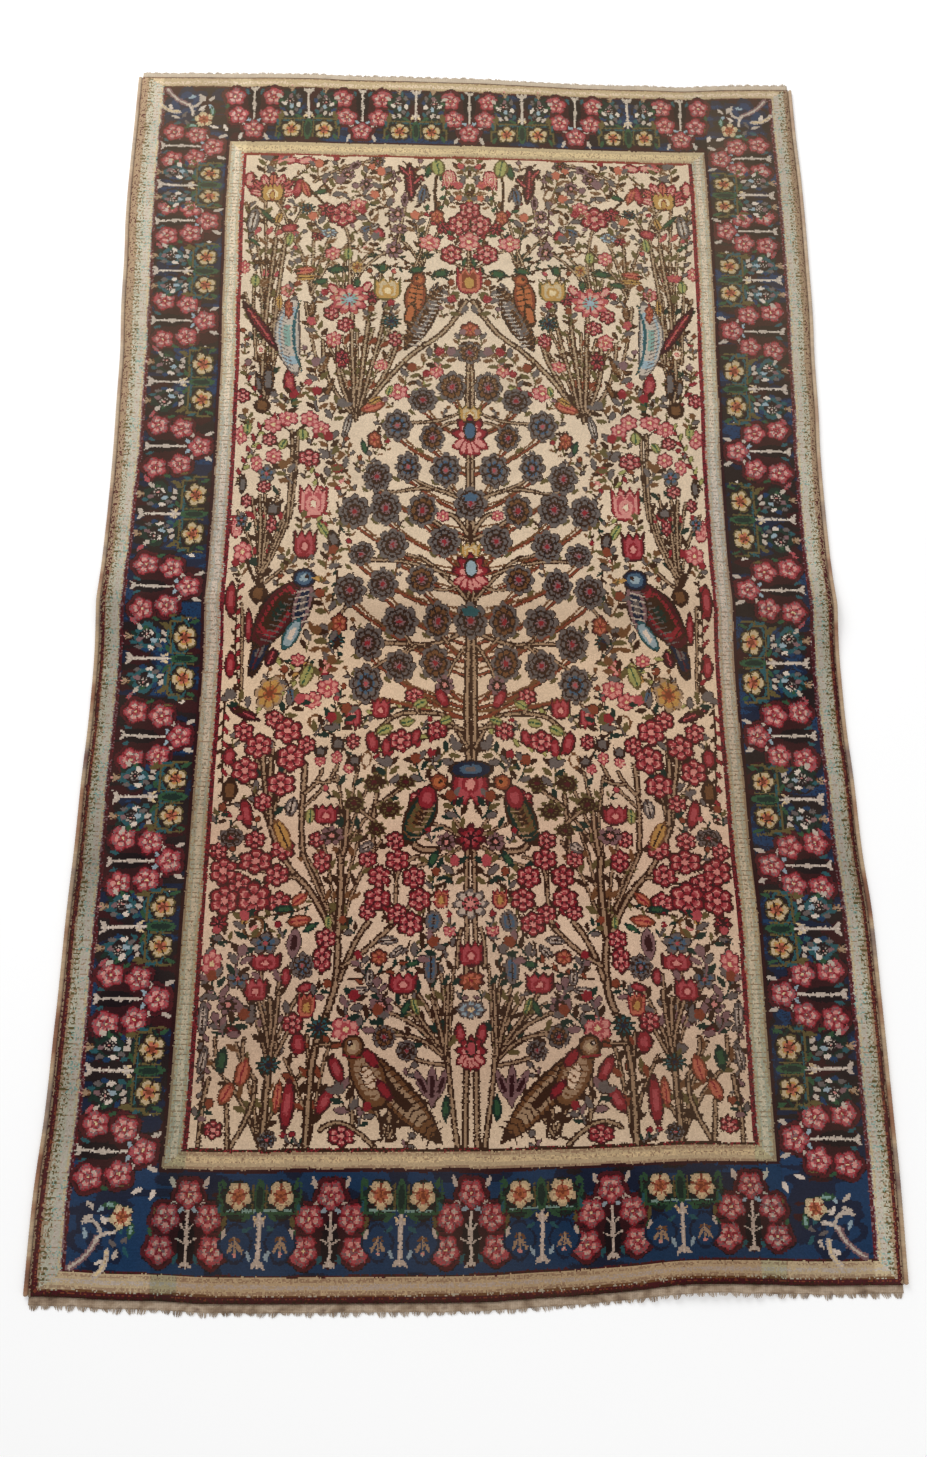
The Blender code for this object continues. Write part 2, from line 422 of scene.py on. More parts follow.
def stem(points, width, edge, core=None):
    # a line through the points, with a lighter core where it is wide enough to show one
    points = np.asarray(points)
    centre = (points.real.min() + points.real.max() + 1j * (points.imag.min() + points.imag.max())) / 2
    reach = max(np.ptp(points.real), np.ptp(points.imag)) / 2 + width
    where = chart.window(centre, reach)
    place = chart.place[where]
    away = np.full(place.shape, 1e9)
    for start, stop in zip(points[:-1], points[1:]):
        run = stop - start
        share = np.clip(((place - start) * np.conj(run)).real / abs(run) ** 2, 0, 1)
        away = np.minimum(away, np.abs(place - start - share * run))
    chart.tie(where, away < width, edge)
    if core:
        chart.tie(where, away < width * 0.36, core)


def line(spot, steps, width, edge, core=None):
    # a stem through these steps from the spot
    stem([spot.out(step) for step in steps], width, edge, core)


def branch(spot, start, pull, stop, width, edge, core=None):
    # a stem from step to step, bowed towards pull
    stem(spot.curve(start, pull, stop), width, edge, core)


# Blossoms by the name of their colouring: petals, depth of the cuts, rings, gap line. The rings go from the
# edge in, each the share of the radius where it starts and its wool.
roses = dict(
    slateRose=(8, 0.16, {1: "slate", 0.78: "ink", 0.66: "slate", 0.5: "umber",
                         0.32: "mauve", 0.16: "crimson"}, "ink"),
    blueRose=(8, 0.18, {1: "slate", 0.84: "ink", 0.72: "slate", 0.52: "blue",
                        0.38: "ink", 0.22: "mauve", 0.12: "rose"}, "ink"),
    umberRose=(8, 0.16, {1: "slate", 0.8: "ink", 0.7: "brown", 0.5: "umber",
                         0.36: "mauve", 0.18: "crimson"}, "ink"),
    pinkRose=(6, 0.22, {1: "rose", 0.84: "pink", 0.44: "rose", 0.22: "cream"}, "rose"),
    redRose=(6, 0.2, {1: "maroon", 0.88: "crimson", 0.72: "pink", 0.6: "rose",
                      0.44: "crimson", 0.24: "pink"}, "maroon"),
    borderRose=(5, 0.2, {1: "maroon", 0.94: "crimson", 0.84: "rose", 0.6: "pink",
                         0.36: "rose", 0.18: "crimson", 0.1: "cream"}, "crimson"),
    darkRose=(7, 0.3, {1: "maroon", 0.74: "crimson", 0.45: "rose", 0.22: "wine"}, "wine"),
    orangeRose=(6, 0.22, {1: "maroon", 0.86: "rust", 0.66: "salmon",
                          0.36: "orange", 0.2: "crimson"}, "rust"),
    goldRose=(7, 0.2, {1: "tan", 0.8: "gold", 0.46: "orange", 0.24: "rust"}, "brown"),
    creamRose=(5, 0.2, {1: "pine", 0.93: "straw", 0.72: "cream", 0.5: "salmon",
                        0.34: "orange", 0.16: "rust"}, "rust"),
    amberRose=(5, 0.18, {1: "ink", 0.92: "olive", 0.8: "straw", 0.54: "gold",
                         0.4: "salmon", 0.22: "rust"}, "umber"),
    mauveRose=(7, 0.24, {1: "mauve", 0.56: "ink", 0.3: "pink"}, "ink"),
    oliveRose=(9, 0.3, {1: "olive", 0.76: "umber", 0.5: "olive", 0.28: "maroon"}, "umber"),
    skyRose=(8, 0.2, {1: "slate", 0.84: "sky", 0.5: "blue", 0.24: "cream"}, "slate"),
    aquaRose=(9, 0.26, {1: "rose", 0.72: "pink", 0.46: "aqua", 0.22: "sky"}, "crimson"),
    greyRose=(8, 0.26, {1: "slate", 0.82: "ash", 0.5: "rose", 0.3: "pink"}, "ink"),
    hollowRose=(5, 0.1, {1: "brown", 0.76: "ivory", 0.3: "pink"}, None),
    slateIris=(5, 0.3, {1: "ink", 0.9: "slate", 0.62: "blue", 0.36: "slate", 0.18: "rose"}, "ink"),
    tealRose=(10, 0.36, {1: "pine", 0.66: "teal", 0.25: "navy"}, "ink"),
)
# Leaves: rings and midrib.
leaves = dict(
    pineLeaf=({1: "pine", 0.5: "green"}, None),
    slateLeaf=({1: "ink", 0.84: "slate", 0.5: "ash"}, "ink"),
    limeLeaf=({1: "olive", 0.7: "lime"}, "green"),
    redLeaf=({1: "maroon", 0.74: "crimson", 0.4: "rose"}, None),
    pinkLeaf=({1: "crimson", 0.66: "pink"}, None),
    orangeLeaf=({1: "rust", 0.68: "salmon"}, "crimson"),
    goldLeaf=({1: "brown", 0.72: "gold"}, "umber"),
    umberLeaf=({1: "umber", 0.5: "brown"}, None),
    mauveLeaf=({1: "mauve", 0.5: "wine"}, None),
    skyLeaf=({1: "ink", 0.86: "slate", 0.56: "blue", 0.26: "slate"}, "ink"),
    hollowLeaf=({1: "brown", 0.6: "ivory"}, None),
    inkLeaf=({1: "ink", 0.5: "slate"}, None),
    wineLeaf=({1: "wine", 0.6: "maroon"}, "rose"),
)
# Cups: rings and how many lobes the mouth has.
cups = dict(
    redCup=({1: "maroon", 0.86: "crimson", 0.66: "rose", 0.46: "crimson", 0.26: "pink"}, 3),
    pinkCup=({1: "crimson", 0.84: "pink", 0.62: "rose", 0.5: "pink", 0.26: "ivory"}, 3),
    orangeCup=({1: "crimson", 0.84: "salmon", 0.62: "rust", 0.4: "gold"}, 3),
    goldCup=({1: "olive", 0.84: "gold", 0.62: "straw", 0.46: "gold", 0.26: "cream"}, 3),
    inkCup=({1: "ink", 0.55: "slate"}, 2),
)


def motif(spot, kind, wide, tall):
    # one blossom, leaf or cup by its name, wide and tall in centimetres
    if kind in roses:
        petals, depth, rings, gap = roses[kind]
        blossom(spot, wide / 2, tall / 2, petals, depth, rings, gap)
    elif kind in leaves:
        rings, rib = leaves[kind]
        leaf(spot, wide / 2, tall / 2, rings, rib=rib)
    else:
        rings, lobes = cups[kind]
        cup(spot, wide / 2, tall / 2, rings, lobes)


# Nested rectangles of the layout, from the outer edge in: distances from the sides and from each end.
layout = (
    # side, near, far, wool
    (0.00, 0.0, 0.0, "maroon"),
    (1.05, 0.95, 0.40, "sage"),
    (4.00, 3.6, 2.50, "maroon"),
    (4.60, 3.9, 2.80, "ink"),
    (17.50, 18.0, 15.2, "wine"),
    (18.00, 18.5, 15.6, "sage"),
    (20.70, 20.9, 18.2, "crimson"),
    (21.40, 21.4, 18.7, "ivory"),
)
# Worn bands beside them, for the sides, the near end and the far end: from and to as shares of the layout's
# steps, wool, share of the knots.
wornBands = (
    ((0.0, 0.3, "tan", 0.7), (0.3, 0.5, "umber", 0.5), (0.6, 1.0, "rust", 0.35), (1.0, 1.1, "tan", 1.0),
     (1.1, 1.42, "tan", 0.4), (1.5, 1.78, "ash", 0.8), (1.84, 1.94, "straw", 0.8), (1.94, 2.0, "mauve", 0.8),
     (2.0, 3.0, "crimson", 0.2), (4.3, 5.0, "wine", 0.5), (5.0, 5.12, "tan", 1.0), (5.12, 5.3, "straw", 0.5),
     (5.38, 5.72, "ivory", 0.8), (5.8, 5.92, "straw", 0.9), (5.92, 6.0, "salmon", 0.5),
     (6.0, 7.0, "maroon", 0.5)),
    ((0.0, 0.25, "umber", 0.7), (0.25, 0.6, "umber", 0.35), (0.6, 0.85, "rust", 0.3),
     (1.0, 1.1, "brown", 0.8), (1.1, 2.0, "straw", 1.0), (1.1, 1.3, "tan", 0.7), (1.4, 1.62, "ash", 0.7),
     (1.75, 1.94, "tan", 0.5), (2.0, 3.0, "umber", 0.4), (5.0, 6.0, "straw", 1.0), (5.0, 5.15, "tan", 0.9),
     (5.4, 5.7, "cream", 0.7),
     (5.8, 6.0, "tan", 0.7), (6.0, 7.0, "umber", 0.8)),
    ((0.0, 1.0, "umber", 1.0), (0.0, 0.5, "brown", 0.6), (1.0, 2.0, "straw", 1.0), (1.0, 1.16, "tan", 0.7),
     (1.4, 1.75, "ivory", 0.6), (1.88, 2.0, "tan", 0.8), (2.0, 3.0, "umber", 0.6), (5.0, 6.0, "straw", 1.0),
     (5.3, 5.75, "cream", 0.9), (5.88, 6.0, "tan", 0.6), (6.0, 7.0, "rust", 0.6)),
)


def layBands(size):
    # how many steps of the layout each knot lies in, with its share of the next one: the least of three ways
    side = size["halfWidth"] - np.abs(chart.calm.real)
    # the left guard is wider than the right one at its ends and narrower below its middle
    narrowed = 0.95 * np.exp(-((chart.calm.imag + 18) / 52) ** 2) - 0.45
    shift = np.where(chart.calm.real > 0, 0.3, narrowed)
    side = side + shift * np.sin(np.pi * np.clip(side / 10, 0, 1))
    ways = (side, chart.calm.imag - size["near"], size["far"] - chart.calm.imag)
    steps = np.array([*(row[:3] for row in layout), [size["middle"]] * 3])
    depth = np.stack([np.interp(way, steps[:, k], np.arange(len(steps))) for k, way in enumerate(ways)])
    nearest, way = depth.min(0), np.argmin(depth, axis=0)
    nearest[np.min(ways, axis=0) < 0] = 0
    for level, row in enumerate(layout):
        chart.tie(everywhere, nearest >= level, row[3])
    for k, bands in enumerate(wornBands):
        for start, stop, wool, fill in bands:
            chart.tie(everywhere, (way == k) & (nearest >= start) & (nearest < stop), wool, fill)
    # the outer line of the sides is worn to tan in its far half
    worn = (way == 0) & (nearest < 1) & (chart.chance < np.clip((chart.y + 10) / 45, 0, 0.8))
    chart.tie(everywhere, worn, "tan")
    # every fourth row of the side guards is a darker tick, strongest at the outer edge, where wefts show
    rng = np.random.default_rng(14)
    streak = smoothNoise(rng, 240, 6, chart.knots.shape)
    tick = (np.arange(size["rows"]) % 4 == 0)[:, None] & (way == 0)
    outer, inner = (nearest > 1) & (nearest < 2), (nearest > 5) & (nearest < 6)
    chart.tie(everywhere, tick & outer & (chart.chance < 0.5 + 0.3 * streak), "tan")
    strong = np.roll(tick, 1, 0) | tick
    chart.tie(everywhere, strong & outer & (nearest < 1.45) & (chart.chance < 0.5 + 0.3 * streak), "olive")
    chart.tie(everywhere, tick & inner & (chart.chance < 0.55 + 0.3 * streak), "tan")
    chart.tie(everywhere, outer & (way == 0) & (nearest > 1.3) & (streak > 0.1), "aqua", 0.16)


def dabs(spot, places, wools, wide=0.32, tall=0.8):
    # small leaves of loose wool at out + up j, each mirrored, the wools in turn
    for i, place in enumerate(places):
        for side in (-1, 1):
            where = spot.at(side * place.real + 1j * place.imag, -side * (40 * i % 90 - 20))
            leaf(where, wide, tall, {1: wools[i % len(wools)]})


def redCluster(spot, long, column=0.2, branched=False):
    # five roses about a pale column whose foot stands on the outer edge; up points to the outer edge
    places = [side * across * long + 1j * up for side in (-1, 1) for across, up in ((3.1, 5.9), (3.7, 10.3))]
    places.append(2.6j)
    for place in places:
        blossom(spot.at(place), 2.9, 2.9, 5, 0.12, {1: "soot", 0.96: "maroon", 0.8: "wine"})
    blossom(spot.at(8.2j), 2.6 * long, 4.6, 4, 0.1, {1: "wine"})
    blossom(spot.at(9.4j), 1.4, 3.2, 2, 0.1, {1: "soot"})
    line(spot, (4.9j, 12.4j), column, "ash", "white")
    leaf(spot.at(8.6j), column * 1.9, 1.1, {1: "ash"})
    for side in (-1, 1):
        if branched:
            line(spot, (8.0j, side * 0.9 + 6.8j), column * 0.7, "ash")
            line(spot, (9.6j, side * 1.4 + 8.8j), column * 0.6, "ash")
        leaf(spot.at(side * 0.4 + 12.2j, -side * 42), 0.26, 0.7, {1: "ash"})
    dabs(spot, (2.5 + 0.9j, 5.4 * long + 2.8j, 2.3 + 4.0j), ("ash", "white"), 0.36, 0.9)
    dabs(spot, (5.2 * long + 8.0j, 1.4 + 11.5j, 0.9 + 4.7j, 4.7 * long + 4.9j, 5.6 * long + 10.9j),
         ("green", "teal", "sky", "olive", "maroon"), 0.3, 0.75)
    for place in places:
        motif(spot.at(place), "borderRose", 4.4, 4.6)


def yellowPair(spot, long, patch):
    # two cream blossoms about a green stem, a pale sill under them and a column to the outer edge
    clear = patch == "indigo"
    for side in (-1, 1):
        away = side * 3.3 * long
        rings = {1: "navy", 0.84: "indigo"} if clear else {1: "ink", 0.8: patch, 0.5: "ink"}
        blossom(spot.at(away + 9.3j), 2.5 * long, 2.9, 4, 0.16, rings)
        rings = {1: "ink", 0.9: "pine" if clear else patch, 0.72: "ink"}
        blossom(spot.at(away + 3.4j), 3.2 * long, 2.9, 4, 0.2, rings)
    if clear:
        dabs(spot, (1.4 + 10.9j, 5.0 + 8.0j, 1.7 + 7.4j), ("sky", "ash", "teal"), 0.3, 0.8)
    else:
        # mottled patches of mixed wool beside the column, with a small pink blossom in each
        dabs(spot, (1.6+6.9j, 3.2+6.6j, 4.9+7.4j, 1.9+8.6j, 5.2+9.4j, 2+10.6j, 4.4+11.4j, 3.2+8.2j, 5.4+5.9j,
                    3.4+10.6j, 2.4+7.4j, 4.4+6.4j, 2.8+11.6j, 5.6+10.6j, 1.5+9.6j, 4.6+8.8j),
             ("teal", "ash", "indigo", "white", "green", "slate", "pine", "sky", "olive", "mauve", "slate",
              "ash"), 0.38, 0.66)
        for side in (-1, 1):
            motif(spot.at(side * 3.6 * long + 9.4j), "greyRose", 1.8, 1.8)
    dabs(spot, (5.4 * long + 1.1j, 5.7 * long + 4.3j, 1.9 + 5.8j, 5.0 * long + 6.4j, 5.6 * long + 11.6j),
         ("green", "teal", "green", "olive", "rose"), 0.34, 0.9)
    blossom(spot.at(2.9j), 0.85, 2.5, 2, 0.1, {1: "green", 0.66: "pine"})
    for side in (-1, 1):
        # the sill steps round each blossom
        steps = ((0.9, 5.2), (5.4, 5.2), (5.4, 3.2), (6.0, 3.2), (6.0, 0.9))
        sill = [side * across * long + 1j * up for across, up in steps]
        line(spot, sill, 0.18, "green" if clear else "olive")
        wool = "aqua" if clear else "teal"
        line(spot, (side * 0.6 + 4.8j, side * 4.6 * long + 4.8j), 0.14, wool)
        line(spot, (side * 1.0 + 4.6j, side * 1.0 + 1.2j), 0.14, "olive")
        motif(spot.at(side * 3.1 * long + 2.7j), "creamRose" if clear else "amberRose", 4.2 * long, 4.5)
        leaf(spot.at(side * 0.5 + 6.2j, side * 30), 0.26, 0.8, {1: "cream"})
        sprig(spot.at(side * 3.3 * long + (9.6j if clear else 12.4j)), 1.0 if clear else 0.6)
    line(spot, (5.4j, 12.3j), 0.3 if clear else 0.24, "ash", "white")
    for side in (-1, 1):
        leaf(spot.at(side * 0.5 + 12.1j, -side * 40), 0.34, 0.8, {1: "ash"})
        leaf(spot.at(side * 0.4 + 6.4j, -side * 36), 0.2, 0.6, {1: "ash"})


def sprig(spot, size=1.0):
    # a small plain sprig, the same on both sides of its stalk
    spot = spot.at(0j, 0, size)
    line(spot, (-1.1j, 1.1j), 0.17, "tan")
    for side in (-1, 1):
        leaf(spot.at(side * 0.66 + 0.3j, -side * 28), 0.25, 0.85, {1: "tan"})
        leaf(spot.at(side * 0.5 - 0.8j, -side * 50), 0.2, 0.5, {1: "brown"})
    blossom(spot.at(1.2j), 0.3, 0.3, 2, 0, {1: "pink"})


def cornerBranch(spot):
    # a thick pale branch that grows inwards from the outer corner to a cream blossom, and a shorter one
    blossom(spot.at(4.6j), 4.9, 3.6, 5, 0.3, {1: "navy", 0.72: "indigo", 0.34: "navy"})
    for across, up in ((2.6, 3.2), (3.4, 5.6), (1.8, 6.4), (-2.0, 4.4), (-3.4, 6.2), (-1.6, 7.6), (2.8, 8.2),
                       (-3.0, 8.6), (-0.9, 8.4), (1.2, 8.6), (4.2, 7.0), (-4.4, 7.4)):
        where = spot.at(across + 1j * up, 60 * across)
        wool = ("sky", "white", "teal", "slate", "ash")[int(abs(across) * 10) % 5]
        leaf(where, 0.34, 0.85, {1: wool})
    branch(spot, 0.2 - 0.4j, 1.0 + 2.6j, -0.3 + 5.2j, 0.5, "mauve", "ash")
    branch(spot, -0.3 + 5.2j, -0.2 + 6.6j, 0.8 + 7.6j, 0.3, "ash", "white")
    branch(spot, 3.6 + 1.4j, 3.8 + 3.6j, 2.2 + 5.0j, 0.42, "ash", "cream")
    branch(spot, -0.2 + 6.0j, -2.6 + 7.4j, -3.4 + 5.0j, 0.26, "ash")
    for side in (-1, 1):
        leaf(spot.at(side * 2.4 + 9.6j, side * 40), 0.5, 1.3, {1: "green", 0.5: "aqua"})
    motif(spot.at(9.8j), "creamRose", 3.7, 3.9)


# Centres of the border's clusters, from the field's middle: along the ends, and up the sides, with the usual
# gap between two of those.
endSteps = (-41.9, -20.9, 0.0, 20.9, 41.9)
sideSteps = (92.7, 75.4, 53.9, 28.0, 0.9, -26.1, -47.1, -68.6, -91.1)
sideGap = 21.5


def drawBorder(size):
    rng = np.random.default_rng(5)
    side, near, far = size["borderStop"]
    for across in (-1, 1):
        inner = across * (size["halfWidth"] - side)
        gaps = np.abs(np.diff(sideSteps))
        for step, low, high in zip(sideSteps, [gaps[0], *gaps], [*gaps, gaps[-1]]):
            spot = Spot(inner + 1j * (step + rng.uniform(-0.6, 0.6)), across * -np.pi / 2)
            redCluster(spot, np.clip((low + high) / (2 * sideGap), 0.88, 1.16))
        for step, gap in zip(sideSteps[:-1], gaps):
            spot = Spot(inner + 1j * (step - gap / 2), across * -np.pi / 2)
            yellowPair(spot, np.clip(gap / sideGap, 0.86, 1.2), "pine" if rng.random() < 0.5 else "teal")
    for turn, edge, patch in ((np.pi, size["near"] + near, "indigo"), (0, size["far"] - far, "pine")):
        for step in endSteps:
            redCluster(Spot(step + 1j * edge, turn), 1.0, 0.19, patch == "indigo")
        for low, high in zip(endSteps[:-1], endSteps[1:]):
            yellowPair(Spot((low + high) / 2 + 1j * edge, turn), 1.0, patch)
    inset, near, far = size["cornerFoot"]
    for side in (-1, 1):
        for up, edge in ((-1, size["near"] + near), (1, size["far"] - far)):
            corner = side * (size["halfWidth"] - inset) + 1j * edge
            inward = np.angle(-side * 1.0 - up * 1.0j) - np.pi / 2
            cornerBranch(Spot(corner, inward, flip=side > 0))


def tieBorderGround(size):
    # near the lower end the border's ground is clear blue, further up it darkens to brown and wine
    rng = np.random.default_rng(9)
    blotch = smoothNoise(rng, 60, 34, chart.knots.shape)
    streak = smoothNoise(rng, 240, 6, chart.knots.shape)
    ground = chart.knots == woolNames.index("ink")
    bluer = (size["near"] + 24 - chart.place.imag) / 14 + 0.9 * blotch + 0.5 * streak
    chart.tie(everywhere, ground & (blotch - 0.5 * streak < -0.35), "wine")
    chart.tie(everywhere, ground & (blotch + 0.5 * streak > 0.1), "navy")
    chart.tie(everywhere, ground & (blotch + 0.7 * streak > 0.5), "indigo", 0.8)
    chart.tie(everywhere, ground & (bluer > 0.0), "navy")
    chart.tie(everywhere, ground & (bluer > 0.7), "indigo")


def wearKnots(share=0.2):
    # worn pile lets each knot lean over its neighbour: a share of the knots take the wool beside them
    rng = np.random.default_rng(77)
    for step, axis in besides:
        leaning = rng.random(chart.knots.shape) < share / 4
        beside = np.roll(chart.knots, step, axis)
        chart.knots[leaning] = beside[leaning]


